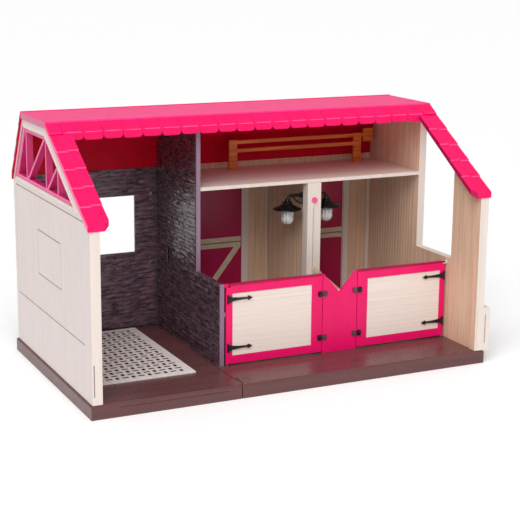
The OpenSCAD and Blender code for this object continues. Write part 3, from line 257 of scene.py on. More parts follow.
# Finishes: grain, bumps, coat and shine
PLAIN = dict(grain_scale=60)
PLANKS = dict(grain=UPRIGHT, grain_scale=150, bump_mm=0.2, bump_scale=220)
DOOR = dict(grain_scale=60, bump=0.1, specular=0.3)
ROOF = dict(grain_scale=30, bump=0.1)
STONE = dict(
    grain=(0.5, 0.5, 1.6), grain_scale=70, bump=0.8, bump_mm=0.8, bump_scale=160, coat=0.35
)
BASE = dict(
    grain=LEVEL_X, grain_scale=50, bump=0.03, bump_grain=(1, 1, 1), bump_scale=120, specular=0.4
)
PANEL = dict(grain=(0.015, 1, 1), grain_scale=200, bump=0.2, bump_scale=320)
WOOD = dict(grain=(0.06, 1, 1), grain_scale=170, bump=0.35, bump_mm=0.25)

# Light tone, dark tone, roughness and finish of each plastic
PLASTICS = {
    "cream_wall": ((212, 200, 197), (206, 194, 190), (0.34, 0.46), PLANKS | dict(bump=0.12)),
    # A warmer copy of the wall cream for the stalls' inner faces: painted warm bounce light
    "cream_warm_bounce": ((226, 192, 164), (208, 172, 144), (0.4, 0.55), PLANKS | dict(specular=0.3)),
    # Painted shade: a darker brown copy of the cream for the wing's sloped top
    "wing_top_shade": ((178, 150, 128), (166, 138, 116), (0.4, 0.55), PLAIN),
    # Painted shade: a dark brown for the floors and sides of the left wall's grooves and for the
    # post's joint
    "groove_shade": ((150, 128, 112), (138, 116, 100), (0.5, 0.6), PLAIN | dict(specular=0.2)),
    "cream_trim": (
        (222, 209, 200), (216, 202, 192), (0.32, 0.46), dict(grain=UPRIGHT, grain_scale=90, bump=0.1),
    ),
    "stone_wall": ((90, 68, 78), (46, 30, 37), (0.16, 0.34), STONE),
    # A lighter copy of the stone for the back wall's stones: painted light
    "stone_back_lit": ((116, 86, 100), (62, 42, 52), (0.16, 0.34), STONE),
    "lilac_trim": ((140, 112, 132), (128, 100, 120), (0.3, 0.42), dict(grain=UPRIGHT, bump=0.12)),
    "brown_base": ((100, 62, 62), (90, 54, 55), (0.26, 0.36), BASE),
    "pink_roof": ((240, 4, 98), (232, 2, 90), (0.32, 0.45), ROOF | dict(specular=0.22)),
    # Painted highlight: a paler pink for the middles of the front shingles' bends, the rakes' forward
    # faces and the left rake's outer face
    "pink_painted_highlight": ((250, 80, 144), (246, 66, 134), (0.3, 0.42), ROOF),
    # Painted shade: a dark magenta for the roof's left and right ends
    "roof_end_shade": ((128, 22, 70), (112, 16, 60), (0.35, 0.5), ROOF | dict(specular=0.3)),
    # Painted shade: a darker pink for the right rake's inner side
    "rake_side_shade": ((182, 12, 78), (168, 8, 70), (0.35, 0.5), ROOF | dict(specular=0.25)),
    # Painted shade: a darker, redder pink for the rear slope's faces that look into the barn
    "roof_underside_shade": ((204, 0, 40), (190, 0, 34), (0.4, 0.55), ROOF | dict(specular=0.1)),
    # Paler than the roof's pink: painted reflection of the white surroundings on the flat top
    "pink_cap": ((252, 44, 130), (244, 34, 122), (0.36, 0.48), ROOF),
    # Painted light: a paler, duller pink for the cap's ends
    "cap_end_light": ((206, 96, 136), (198, 88, 128), (0.36, 0.48), ROOF),
    "pink_truss": ((222, 76, 142), (212, 64, 130), (0.3, 0.42), ROOF),
    # Painted shade: a darker pink for the sides of the truss bars
    "truss_side_shade": ((196, 36, 104), (182, 26, 92), (0.3, 0.42), ROOF),
    "pink_door": ((234, 8, 102), (228, 5, 96), (0.28, 0.4), DOOR | dict(grain=UPRIGHT)),
    # Painted shade: a dark pink for the door frames' top faces and lips
    "pink_door_top_shade": ((168, 4, 68), (158, 2, 62), (0.28, 0.4), DOOR),
    "cream_panel": ((234, 219, 211), (228, 211, 201), (0.42, 0.56), PANEL),
    "magenta_leaf": ((176, 4, 74), (164, 2, 66), (0.3, 0.42), PLAIN | dict(grain=UPRIGHT, bump=0.12)),
    "cream_bars": ((212, 194, 172), (202, 182, 158), (0.4, 0.55), PLAIN),
    "orange_wood": ((222, 124, 40), (182, 86, 22), (0.4, 0.55), WOOD),
    "black_hinge": (
        (30, 22, 25), (14, 10, 12), (0.22, 0.36), dict(bump=0.3, bump_mm=0.25, specular=0.35),
    ),
    "plum_catch": ((96, 66, 78), (66, 42, 52), (0.28, 0.42), dict(bump=0.25, coat=0.2)),
    "black_lamp": ((14, 12, 13), (6, 5, 6), (0.16, 0.28), dict(specular=0.3)),
    "bulb": ((252, 250, 240), (244, 240, 226), (0.2, 0.3), {}),
    "board": ((36, 110, 62), (26, 88, 48), (0.35, 0.5), {}),
    "pink_button": ((236, 76, 142), (228, 64, 132), (0.3, 0.42), dict(coat=0.3)),
    "tap_metal": ((58, 44, 46), (30, 22, 24), (0.2, 0.36), dict(bump=0.3, coat=0.3)),
}
looks = {
    name: plastic(name, light, dark, rough, **finish)
    for name, (light, dark, rough, finish) in PLASTICS.items()
}
looks["steel"] = metal("steel", (206, 208, 212), (180, 182, 188))
looks["cell_jacket"] = metal("cell_jacket", (140, 144, 150), (120, 124, 130))
looks["lamp_glass"] = clear_plastic("lamp_glass", (252, 252, 252))
looks["cream_tray"] = tray_with_painted_shade()


# ---- Meshes ----


def new_piece(name, shape, slot, body="barn", replaced=(), look=None):
    """Makes a piece from a mesh in the making, in its slot's look or another, on its body."""
    mesh = bpy.data.meshes.new(name)
    shape.to_mesh(mesh)
    shape.free()
    mesh.materials.append(looks[look or slot])
    piece = bpy.data.objects.new(name, mesh)
    bpy.context.scene.collection.objects.link(piece)
    if replaced:
        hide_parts(*replaced)
    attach(piece, body)
    return piece


def closed_piece(name, shape, slot, body="barn", replaced=(), look=None):
    """Makes a piece from closed shells, once their faces all look outwards."""
    bmesh.ops.recalc_face_normals(shape, faces=shape.faces)
    return new_piece(name, shape, slot, body, replaced, look)


def soften(piece, width_mm, segments=2):
    """Rounds a piece's sharp edges and keeps its large faces flat in the light."""
    piece.data.shade_smooth()
    if width_mm:
        bevel = piece.modifiers.new("round_edges", "BEVEL")
        bevel.width = width_mm * MM
        bevel.segments = segments
        bevel.limit_method = "ANGLE"
        bevel.angle_limit = SHARP
        bevel.miter_outer = "MITER_ARC"
    else:
        piece.data.set_sharp_from_angle(angle=SHARP)
    normals = piece.modifiers.new("flat_faces", "WEIGHTED_NORMAL")
    normals.keep_sharp = True
    return piece


def dress(node, width_mm):
    """Stands a copy of a CAD node with rounded edges in its place."""
    source = frame["nodes"][node]
    shape = bmesh.new()
    shape.from_mesh(source.data)
    bmesh.ops.remove_doubles(shape, verts=shape.verts, dist=WELD)
    piece = new_piece(node + "_look", shape, slot_of[node], source["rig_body"], [node])
    return soften(piece, width_mm)


def two_tone(piece, look, is_second):
    """Gives one more look to the faces that pass a test of their normal and middle."""
    piece.data.materials.append(looks[look])
    last = len(piece.data.materials) - 1
    for face in piece.data.polygons:
        if is_second(face.normal, face.center):
            face.material_index = last


def is_end(normal, middle):
    """True for the faces that look to the left or the right."""
    return abs(normal.x) > 0.9


def bridge(shape, one, two):
    """Joins two rings of points with a band of faces."""
    for i in range(len(one)):
        j = (i + 1) % len(one)
        shape.faces.new((one[i], one[j], two[j], two[i]))


def skin(shape, rings):
    """Closes a row of rings of points into a solid."""
    for one, two in zip(rings, rings[1:]):
        bridge(shape, one, two)
    shape.faces.new(rings[0][::-1])
    shape.faces.new(rings[-1])


def add_box(shape, low, high):
    """Adds a box between two corners to a mesh."""
    middle = (Vector(low) + Vector(high)) / 2
    size = Vector(high) - Vector(low)
    matrix = Matrix.Translation(middle) @ Matrix.Diagonal((*size, 1))
    bmesh.ops.create_cube(shape, size=1, matrix=matrix)


def add_lathe(shape, profile, centre, axis="Z", turns=32, ribs=0, rib_depth=0.0):
    """Adds a turned shape: profile holds radius and height pairs from one end to the other."""
    tilt = {
        "X": Matrix.Rotation(math.pi / 2, 4, "Y"),
        "Y": Matrix.Rotation(-math.pi / 2, 4, "X"),
        "Z": Matrix.Identity(4),
    }[axis]
    rings = []
    for radius, height in profile:
        ring = []
        for i in range(turns):
            angle = 2 * math.pi * i / turns
            reach = radius - (rib_depth * (0.5 - 0.5 * math.cos(ribs * angle)) if ribs else 0)
            point = tilt @ Vector((reach * math.cos(angle), reach * math.sin(angle), height))
            ring.append(shape.verts.new(Vector(centre) + point))
        rings.append(ring)
    skin(shape, rings)
    return rings


def add_tube(shape, points, radius, sides=12):
    """Adds a closed round tube along a row of points."""
    rings = []
    side = (points[1] - points[0]).orthogonal()
    for i, point in enumerate(points):
        ahead = (points[min(i + 1, len(points) - 1)] - points[max(i - 1, 0)]).normalized()
        side = (side - ahead * side.dot(ahead)).normalized()
        across = ahead.cross(side)
        ring = []
        for k in range(sides):
            angle = 2 * math.pi * k / sides
            reach = side * math.cos(angle) + across * math.sin(angle)
            ring.append(shape.verts.new(point + radius * reach))
        rings.append(ring)
    skin(shape, rings)


# ---- Stone ----


def add_stones(shape, place, rows_from, rows_to, spans, proud, rng):
    """Adds rough stones in level courses.

    place turns a length along the wall, a height and a distance out of it into a point.
    spans gives, for the middle of a course, the stretches of the wall that have stone.
    """
    height = rows_from
    while height < rows_to - 3 * MM:
        course = min(rng.uniform(8.0, 13.0) * MM, rows_to - height)
        for start, end in spans(height + course / 2):
            along = start
            while along < end - 2 * MM:
                length = min(rng.uniform(24, 70) * MM, end - along)
                if end - along - length < 12 * MM:
                    length = end - along
                add_stone(shape, place, along, length, height, course, proud, rng)
                along += length
        height += course


def add_stone(shape, place, along, length, height, course, proud, rng):
    """Adds one stone: a slab with a chipped face, set in a narrow joint."""
    joint = 0.5 * MM
    cells = max(2, round(length / (14 * MM)))
    lift = rng.uniform(0.5, 1.0) * proud
    tip = rng.uniform(-0.25, 0.25) * proud
    rows = [0.0, 0.22, 0.62, 1.0]
    sink = [0.45, 0.0, 0.12, 0.5]

    def corner(share, row, out, sway=0.0):
        """A point at shares of the stone's length and height."""
        start = along + joint + sway
        up = height + joint + (course - 2 * joint) * row
        return shape.verts.new(place(start + (length - 2 * joint) * share, up, out))

    grid = []
    for row, down in zip(rows, sink):
        line = []
        for i in range(cells + 1):
            share = i / cells
            edge = 0.5 if i in (0, cells) else 0.0
            out = lift * (1 - max(down, edge)) + tip * share + rng.uniform(-0.22, 0.22) * proud
            sway = rng.uniform(-0.5, 0.5) * MM if 0 < i < cells else 0.0
            line.append(corner(share, row, max(out, 0.15 * proud), sway))
        grid.append(line)
    back = [[corner(i / cells, row, -0.3 * MM) for i in range(cells + 1)] for row in (0.0, 1.0)]
    for low, high in zip(grid, grid[1:]):
        for i in range(cells):
            shape.faces.new((low[i], low[i + 1], high[i + 1], high[i]))
    for i in range(cells):
        shape.faces.new((back[0][i], back[0][i + 1], grid[0][i + 1], grid[0][i]))
        shape.faces.new((grid[-1][i], grid[-1][i + 1], back[1][i + 1], back[1][i]))
        shape.faces.new((back[1][i], back[1][i + 1], back[0][i + 1], back[0][i]))
    for i in (0, cells):
        shape.faces.new([back[0][i], *[line[i] for line in grid], back[1][i]])


def stone_on_back_wall():
    """Stone on both faces of the wash bay's back wall, round its window."""
    low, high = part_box("back_wall_bay")
    window_low, window_high = window_box()
    start = low.x + 0.5 * MM
    margin = 3 * MM

    def round_window(end):
        """Gives, for the middle of a course, its stretches up to an end and beside the window."""

        def spans(height):
            if window_low.z - margin < height < window_high.z + margin:
                return [(start, window_low.x), (window_high.x, end)]
            return [(start, end)]

        return spans

    def inner(along, height, out):
        return Vector((along, low.y - out, height))

    def outer(along, height, out):
        return Vector((along, high.y + out, height))

    shape = bmesh.new()
    rng = random.Random(5)
    tray_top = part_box("drain_tray")[1].z
    inner_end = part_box("partition")[0].x - STRIP_W
    add_stones(shape, inner, tray_top, high.z, round_window(inner_end), WALL_STONE, rng)
    add_stones(shape, outer, low.z, high.z, round_window(high.x - MM), WALL_STONE, rng)
    # The back wall's stones get the lighter copy of the stone: painted light
    closed_piece("bay_stones", shape, "stone_wall", look="stone_back_lit")


def window_box():
    """Lowest and highest corner of the wash bay's window, from the wall's own corners."""
    low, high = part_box("back_wall_bay")
    xs, zs = set(), set()
    for vertex in frame["nodes"]["back_wall_bay"].data.vertices:
        x, _, z = vertex.co
        if low.x + MM < x < high.x - MM and low.z + MM < z < high.z - MM:
            xs.add(round(x, 5))
            zs.add(round(z, 5))
    return Vector((min(xs), low.y, min(zs))), Vector((max(xs), high.y, max(zs)))


def stone_on_partition():
    """Stone on the partition's face towards the wash bay."""
    low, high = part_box("partition")
    half_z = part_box("door_left_frame")[1].z
    upper_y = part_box("loft_board")[0].y
    cap_low, cap_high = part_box("roof_cap")
    rear_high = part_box("roof_rear")[1]
    rear_slope = (cap_high.z - rear_eave_z()) / (rear_high.y - cap_high.y)

    def spans(height):
        front = low.y if height < half_z else upper_y
        back = min(high.y, cap_high.y + (cap_low.z - height) / rear_slope - 4 * MM)
        return [(front + 0.5 * MM, back - 0.5 * MM)] if back - front > 5 * MM else []

    def place(along, height, out):
        return Vector((low.x - out, along, height))

    shape = bmesh.new()
    under_roof = 6 * MM
    add_stones(
        shape, place, low.z, high.z - under_roof, spans, SIDE_STONE, random.Random(11)
    )
    closed_piece("partition_stones", shape, "stone_wall")


def corner_strip():
    """A moulding in the corner between the bay's back wall and the partition."""
    wall_low, wall_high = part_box("back_wall_bay")
    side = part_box("partition")[0].x
    thick = 3 * MM
    shape = bmesh.new()
    add_box(
        shape,
        (side - STRIP_W, wall_low.y - thick, wall_low.z),
        (side, wall_low.y + 0.5 * MM, wall_high.z),
    )
    soften(new_piece("corner_strip", shape, "stone_wall"), 1.2, 3)


# ---- Shingles ----


def along_path(path, distance):
    """The point at a distance along a path in y and z, and the path's way there."""
    left = distance
    for (y0, z0), (y1, z1) in zip(path, path[1:]):
        step = math.hypot(y1 - y0, z1 - z0)
        way = ((y1 - y0) / step, (z1 - z0) / step)
        if left <= step or (y1, z1) == path[-1]:
            return (y0 + way[0] * left, z0 + way[1] * left), way
        left -= step


def close_sheet(shape, outer, inner):
    """Closes an outer and an inner grid of points into a sheet, and gives the outer faces by row."""
    last = len(outer[0]) - 1
    rows = []
    for i in range(len(outer) - 1):
        row = []
        for j in range(last):
            face = (outer[i][j], outer[i + 1][j], outer[i + 1][j + 1], outer[i][j + 1])
            row.append(shape.faces.new(face))
            face = (inner[i][j], inner[i][j + 1], inner[i + 1][j + 1], inner[i + 1][j])
            shape.faces.new(face)
        rows.append(row)
        for j in (0, last):
            shape.faces.new((outer[i][j], outer[i + 1][j], inner[i + 1][j], inner[i][j]))
    for i in (0, len(outer) - 1):
        for j in range(last):
            shape.faces.new((outer[i][j], outer[i][j + 1], inner[i][j + 1], inner[i][j]))
    return rows


def add_shingle(shape, x0, x1, path, thick, corner, lift, highlight_step=None):
    """Adds a shingle between x0 and x1, whose outer face lies right of a path down to its butt.

    corner is the radius of its lower corners. One step of the path may have a paler middle: a painted
    highlight.
    """
    round_off = 1.4 * MM
    sink = 0.8 * MM
    columns = [0, 0.02, 0.05, 0.1, 0.18, 0.5, 0.82, 0.9, 0.95, 0.98, 1]
    tail = [0.3, 0.6, 0.8, 0.92, 1]
    steps = [math.dist(a, b) for a, b in zip(path, path[1:])]
    marks = [sum(steps[:i]) for i in range(len(steps))]
    outer, inner = [], []
    for across in columns:
        x = x0 + (x1 - x0) * across
        from_side = min(across, 1 - across) * (x1 - x0)
        reach = sum(steps)
        if from_side < corner:
            reach -= corner - math.sqrt(corner**2 - (corner - from_side) ** 2)
        last_run = max(reach - marks[-1], NEAR)
        outer_line, inner_line = [], []
        for distance in marks + [marks[-1] + last_run * share for share in tail]:
            (y, z), (along, rise) = along_path(path, distance)
            dip = max(0, 1 - from_side / round_off) ** 2
            dip += max(0, 1 - (reach - distance) / round_off) ** 2
            up = lift - sink * dip
            outer_line.append(shape.verts.new((x, y + rise * up, z - along * up)))
            inner_line.append(shape.verts.new((x, y - rise * thick, z + along * thick)))
        outer.append(outer_line)
        inner.append(inner_line)
    for across, row in zip(columns, close_sheet(shape, outer, inner)):
        if highlight_step is not None and 0.1 <= across < 0.9:
            row[highlight_step].material_index = 1


def add_bar_x(shape, outline, x0, x1):
    """Adds a bar along x with an outline of y and z points."""
    skin(shape, [[shape.verts.new((x, y, z)) for y, z in outline] for x in (x0, x1)])


def roof_line():
    """The front slope's surface as its height at y = 0 and its rise, from the CAD boxes."""
    cap_low, cap_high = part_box("roof_cap")
    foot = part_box("rake_left")[0]
    slope = (cap_high.z - foot.z - RAKE_V) / (cap_low.y - foot.y)
    return cap_high.z - slope * cap_low.y, slope


def tab_edges(shift=0.0):
    """The x of the joints between shingles, from the roof's left end to its right end."""
    low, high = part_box("roof_rear")
    edges = [low.x]
    x = low.x + TAB_FIRST + shift
    least = 6 * MM
    while x < high.x - least:
        edges.append(x)
        x += TAB_PITCH
    return edges + [high.x]


def front_strip():
    """The row of shingles along the front: down the slope, round the bend and down the fascia."""
    low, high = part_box("roof_front_edge")
    cap_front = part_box("roof_cap")[0].y
    rake_low, rake_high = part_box("rake_left")
    rake_w = rake_high.x - rake_low.x
    base_z, slope = roof_line()
    bend_z = base_z + slope * low.y
    seam = 0.5 * MM
    bend = 1.8 * MM
    tuck = 2 * MM
    thick = 3 * MM
    top = (cap_front - tuck, base_z + slope * (cap_front - tuck))
    edges = tab_edges()
    shape = bmesh.new()
    for i, (x0, x1) in enumerate(zip(edges, edges[1:])):
        lift = 0.35 * MM * (i % 2)
        middle = (x0 + x1) / 2
        path = [top, (low.y + bend, bend_z + slope * bend)]
        if low.x + rake_w <= middle <= high.x - rake_w:
            corner = 8 * MM
            path.append((low.y + 0.5 * MM, bend_z - 0.3 * MM))
            path.append((low.y, bend_z - bend))
            path.append((low.y, low.z + 0.9 * MM * (i % 2)))
        else:
            corner = MM
            path.append((low.y - MM, bend_z - slope * MM))
        add_shingle(shape, x0 + seam / 2, x1 - seam / 2, path, thick, corner, lift, 1)
    backing_y = low.y + 2.5 * MM
    backing = [
        (backing_y, bend_z - thick),
        (cap_front - MM, high.z - thick),
        (cap_front - MM, high.z - 2 * thick),
        (backing_y, bend_z - 2 * thick),
    ]
    add_bar_x(shape, backing, low.x + 2 * MM, high.x - 2 * MM)
    piece = closed_piece("front_shingles", shape, "pink_roof", replaced=["roof_front_edge"])
    # The paler middles of the shingles' bends are a painted highlight
    piece.data.materials.append(looks["pink_painted_highlight"])
    soften(piece, 0)


def cap_lip():
    """The rounded front lip of the flat top, where it comes down over the strip of shingles."""
    low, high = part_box("roof_cap")
    base_z, slope = roof_line()
    reach = 5.5 * MM
    front = low.y - reach
    foot = base_z + slope * front
    outline = [
        (low.y + 3 * MM, high.z + 0.15 * MM),
        (low.y - 0.5 * MM, high.z + 0.15 * MM),
        (low.y - 0.55 * reach, foot + 3.1 * MM),
        (low.y - 0.85 * reach, foot + 1.9 * MM),
        (front, foot + 0.8 * MM),
        (front + 0.2 * MM, foot - 0.4 * MM),
        (low.y + 3 * MM, high.z - 3 * MM),
    ]
    shape = bmesh.new()
    inset = 0.4 * MM
    add_bar_x(shape, outline, low.x + inset, high.x - inset)
    soften(closed_piece("cap_lip", shape, "pink_cap"), 0.6)


def rear_shingles():
    """Four courses of shingles on the rear slope, each course half a shingle off the next."""
    cap_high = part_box("roof_cap")[1]
    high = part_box("roof_rear")[1]
    courses = 4
    run = (high.y - cap_high.y) / courses
    rise = (cap_high.z - rear_eave_z()) / courses
    length = math.hypot(run, rise)
    out = (rise / length, run / length)
    seam = 0.6 * MM
    tuck = 4 * MM
    sunk = 1.8 * MM
    butt_lift = 1.2 * MM
    shape = bmesh.new()
    for course in range(courses):
        edges = tab_edges(-TAB_PITCH / 2 * (course % 2))
        start = (cap_high.y + run * course, cap_high.z - rise * course)
        butt = (start[0] + run, start[1] - rise)
        if course:
            start = (
                start[0] - out[0] * sunk - run / length * tuck,
                start[1] - out[1] * sunk + rise / length * tuck,
            )
        path = [start, (butt[0] + out[0] * butt_lift, butt[1] + out[1] * butt_lift)]
        for i, (x0, x1) in enumerate(zip(edges, edges[1:])):
            lift = 0.5 * MM * (i % 2)
            add_shingle(shape, x0 + seam / 2, x1 - seam / 2, path, 2.6 * MM, 6 * MM, lift)
    piece = closed_piece("rear_shingles", shape, "pink_roof")
    # The shingles' ends get painted shade
    two_tone(piece, "roof_end_shade", is_end)
    soften(piece, 0)


def rear_eave_z():
    """Height of the rear slope's surface at its lower edge."""
    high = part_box("roof_rear")[1]
    points = frame["nodes"]["roof_rear"].data.vertices
    return max(v.co.z for v in points if v.co.y > high.y - NEAR)


# ---- Gable and walls ----


def moved_out(points, distance):
    """A convex outline of y and z points with each side moved out by a distance."""
    count = len(points)
    middle = sum((Vector(point) for point in points), Vector((0, 0))) / count
    lines = []
    for i in range(count):
        a, b = Vector(points[i]), Vector(points[(i + 1) % count])
        way = (b - a).normalized()
        normal = Vector((-way.y, way.x))
        if normal.dot(middle - a) > 0:
            normal = -normal
        lines.append((a + normal * distance, way))
    corners = []
    for i in range(count):
        (a, u), (b, v) = lines[i - 1], lines[i]
        share = ((b - a).x * v.y - (b - a).y * v.x) / (u.x * v.y - u.y * v.x)
        corners.append(a + u * share)
    return corners


def truss_corners():
    """Corners of the truss in y and z, from its box and the roof's slopes."""
    low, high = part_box("gable_truss")
    cap_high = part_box("roof_cap")[1]
    rear_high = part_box("roof_rear")[1]
    slope = roof_line()[1]
    rear_slope = (cap_high.z - rear_eave_z()) / (rear_high.y - cap_high.y)
    tall = high.z - low.z
    return [
        (low.y, low.z),
        (high.y, low.z),
        (high.y - tall / rear_slope, high.z),
        (low.y + tall / slope, high.z),
    ]


def gable_frame():
    """A bevelled frame with a bead, proud of the left wall round the truss."""
    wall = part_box("end_wall_left")[0].x
    corners = truss_corners()
    shape = bmesh.new()
    for inner, outer, proud in ((0.4, 8.5, 1.0), (3.2, 5.4, 1.9)):
        rings = []
        for distance in (inner * MM, outer * MM):
            outline = moved_out(corners, distance)
            for x in (wall + 0.4 * MM, wall - proud * MM):
                rings.append([shape.verts.new((x, point.x, point.y)) for point in outline])
        for a, b in ((0, 1), (1, 3), (3, 2), (2, 0)):
            bridge(shape, rings[a], rings[b])
    piece = closed_piece("gable_frame", shape, "cream_trim")
    rear, top = Vector(corners[1]), Vector(corners[2])
    along = (top - rear).normalized()

    def behind_truss(normal, middle):
        """True on the frame's rear side, which is as pink as the truss."""
        out = (middle.y - rear.x) * along.y - (middle.z - rear.y) * along.x
        return out > 0.2 * MM and rear.y - MM < middle.z < top.y + MM

    two_tone(piece, "pink_truss", behind_truss)
    soften(piece, 0.5)


def stall_beads():
    """Upright beads in the stalls' rear corners."""
    wall_low, wall_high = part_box("back_wall_stalls")
    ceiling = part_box("loft_board")[0].z
    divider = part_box("stall_divider")[0].x
    deep = 4 * MM
    shape = bmesh.new()
    for right, wide in ((wall_high.x, 8 * MM), (divider, 4 * MM)):
        add_box(
            shape,
            (right - wide, wall_low.y - deep, wall_low.z),
            (right, wall_low.y + 0.5 * MM, ceiling),
        )
    soften(new_piece("stall_beads", shape, "cream_trim"), 1.2)


def door_lips():
    """A rounded lip along the upper edge of each front door, dark with painted shade."""
    tall = 4.5 * MM
    proud = 0.6 * MM
    inset = 1.2 * MM
    for side in ("left", "right"):
        low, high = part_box(f"door_{side}_frame")
        shape = bmesh.new()
        add_box(
            shape,
            (low.x + inset, low.y - proud, high.z - tall),
            (high.x - inset, low.y + 2 * MM, high.z + 0.2 * MM),
        )
        door = "door_" + side
        piece = new_piece(door + "_lip", shape, "pink_door", door, look="pink_door_top_shade")
        soften(piece, 0.9, 3)


def post_seam():
    """A strip of painted shade down the joint in the front of the stall post, below its button."""
    low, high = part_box("stall_post")
    share = 0.43
    half = 0.55 * MM
    x = low.x + share * (high.x - low.x)
    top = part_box("light_button")[0].z - 8 * MM
    shape = bmesh.new()
    add_box(
        shape, (x - half, low.y - 0.1 * MM, low.z + MM), (x + half, low.y + 0.5 * MM, top)
    )
    new_piece("post_seam", shape, "cream_trim", look="groove_shade")


# ---- Rear door knuckles ----


def leaf_knuckles():
    """Hinge knuckles and strap ends that carry each leaf's rail over to its rod."""
    rods_low, rods_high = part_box("rear_rods")
    rod = (rods_high.y - rods_low.y) / 2
    tall = 11 * MM
    end, body, bevel = 2.6 * MM, 3.4 * MM, 0.8 * MM
    profile = [(end, 0), (body, bevel), (body, tall - bevel), (end, tall)]
    for side, x in (("left", rods_low.x + rod), ("right", rods_high.x - rod)):
        for level in ("lower", "upper"):
            leaf = f"rear_{side}_{level}"
            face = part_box(leaf)[0].y
            bars_low, bars_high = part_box(leaf + "_bars")
            z0 = bars_high.z - MM - tall if level == "lower" else bars_low.z
            near, far = sorted((x, bars_low.x if side == "left" else bars_high.x))
            shape = bmesh.new()
            add_box(shape, (near, bars_low.y, z0), (far, face + 0.5 * MM, z0 + tall))
            add_lathe(shape, profile, (x, face + 2.4 * MM, z0), turns=20)
            name = f"knuckle_{side}_{level}"
            soften(closed_piece(name, shape, "cream_bars", f"leaf_{side}_{level}"), 0.4)


# ---- Lamps ----


def lamp_shade(side):
    """A flared black shade with a knobbed collar under its hub."""
    node = "lamp_shade_" + side
    low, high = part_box(node)
    centre = (low + high) / 2
    rim_share = 0.94
    radius = (high.x - low.x) / 2 * rim_share
    tall = high.z - low.z
    # Shares of the rim's radius, and heights in mm
    under = [(0.44, 8.0), (0.7, 3.6), (0.958, 0.4)]
    outside = [
        (0.985, 0.0), (1.0, 0.8), (0.98, 2.0), (0.72, 5.2), (0.46, 9.6), (0.34, 13.2),
        (0.31, 14.2), (0.31, 16.4), (0.24, 17.4), (0.2, 18.6),
    ]
    profile = [(0.2 * MM, 8.0 * MM)] + [(radius * r, z * MM) for r, z in under + outside]
    profile += [(radius * 0.2, tall - 1.6 * MM), (radius * 0.16, tall)]
    shape = bmesh.new()
    add_lathe(shape, profile, (centre.x, centre.y, low.z), turns=48)
    knob = [(0.6 * MM, -1.8 * MM), (1.7 * MM, -1.2 * MM), (1.7 * MM, 1.2 * MM), (0.6 * MM, 1.8 * MM)]
    knobs = 8
    for i in range(knobs):
        angle = 2 * math.pi * i / knobs
        spot = Vector((math.cos(angle), math.sin(angle), 0)) * radius * 0.31
        place = (centre.x + spot.x, centre.y + spot.y, low.z + 15.3 * MM)
        add_lathe(shape, knob, place, turns=10)
    soften(closed_piece(node + "_look", shape, "black_lamp", replaced=[node]), 0)


def lamp_glass(side):
    """A clear jar with upright ribs, open at the top."""
    node = "lamp_glass_" + side
    low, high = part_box(node)
    centre = (low + high) / 2
    outer = (high.x - low.x) / 2
    depth = high.z - low.z
    thick = 1.3 * MM
    # Shares of the jar's radius and of its depth
    wall = [
        (0.80, 0.0), (0.82, 0.10), (1.0, 0.2), (1.0, 0.34), (0.9, 0.44), (0.98, 0.56),
        (0.94, 0.72), (0.76, 0.88), (0.42, 0.97), (0.1, 1.0),
    ]
    outside = [(outer * r, -depth * down) for r, down in wall]
    inside = [
        (max(outer * r - thick, 0.4 * MM), thick * (down > 0.9) - depth * down) for r, down in wall
    ]
    shape = bmesh.new()
    rings = add_lathe(
        shape, outside + inside[::-1], (centre.x, centre.y, high.z), turns=72, ribs=12,
        rib_depth=1.6 * MM,
    )
    caps = [face for face in shape.faces if len(face.verts) > 4]
    bmesh.ops.delete(shape, geom=caps, context="FACES_ONLY")
    bridge(shape, rings[0], rings[-1])
    piece = closed_piece(node + "_look", shape, "lamp_glass", replaced=[node])
    piece.data.shade_smooth()


def quarter_turn(steps):
    """Angles from 0 to a quarter turn."""
    return [math.pi / 2 * i / steps for i in range(steps + 1)]


def lamp_arms():
    """Both arms: a wall plate with two balls, a bent tube, a curved brace and a collar."""
    arms_low, arms_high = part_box("lamp_arms")
    divider_low, divider_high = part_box("stall_divider")
    bend = 9 * MM
    plate_t = 4 * MM
    half_plate = 8 * MM
    collar = [(5.4 * MM, 0), (5.6 * MM, 1.4 * MM), (4.6 * MM, 3.2 * MM), (3.2 * MM, 4 * MM)]
    shape = bmesh.new()
    for side, wall in (("left", divider_low.x), ("right", divider_high.x)):
        low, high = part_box("lamp_shade_" + side)
        middle = (low + high) / 2
        hub = high.z
        away = 1 if wall > middle.x else -1
        arm_z = hub + bend
        plate_x = wall - away * plate_t
        near, far = sorted((plate_x, wall))
        add_box(
            shape,
            (near, middle.y - half_plate, arms_low.z),
            (far, middle.y + half_plate, arms_high.z),
        )
        tube = [Vector((middle.x, middle.y, hub - MM))]
        for angle in quarter_turn(8):
            along = middle.x + away * bend * (1 - math.cos(angle))
            tube.append(Vector((along, middle.y, hub + bend * math.sin(angle))))
        tube.append(Vector((plate_x + away * MM, middle.y, arm_z)))
        add_tube(shape, tube, 3.5 * MM)
        add_ball(shape, (plate_x - away * 4.6 * MM, middle.y, arm_z), 6.4 * MM)
        add_ball(shape, (plate_x - away * 13 * MM, middle.y, arm_z), 4.4 * MM)
        reach = abs(plate_x - middle.x) - 12 * MM
        drop = arm_z - arms_low.z - 5 * MM
        brace = []
        for angle in quarter_turn(12):
            along = plate_x + away * (MM - reach * math.cos(angle))
            brace.append(Vector((along, middle.y, arm_z - drop * math.sin(angle) ** 1.6)))
        add_tube(shape, brace, 1.8 * MM, 8)
        add_lathe(shape, collar, (middle.x, middle.y, hub - 1.2 * MM), turns=20)
    soften(closed_piece("lamp_arms_look", shape, "black_lamp", replaced=["lamp_arms"]), 0.5)


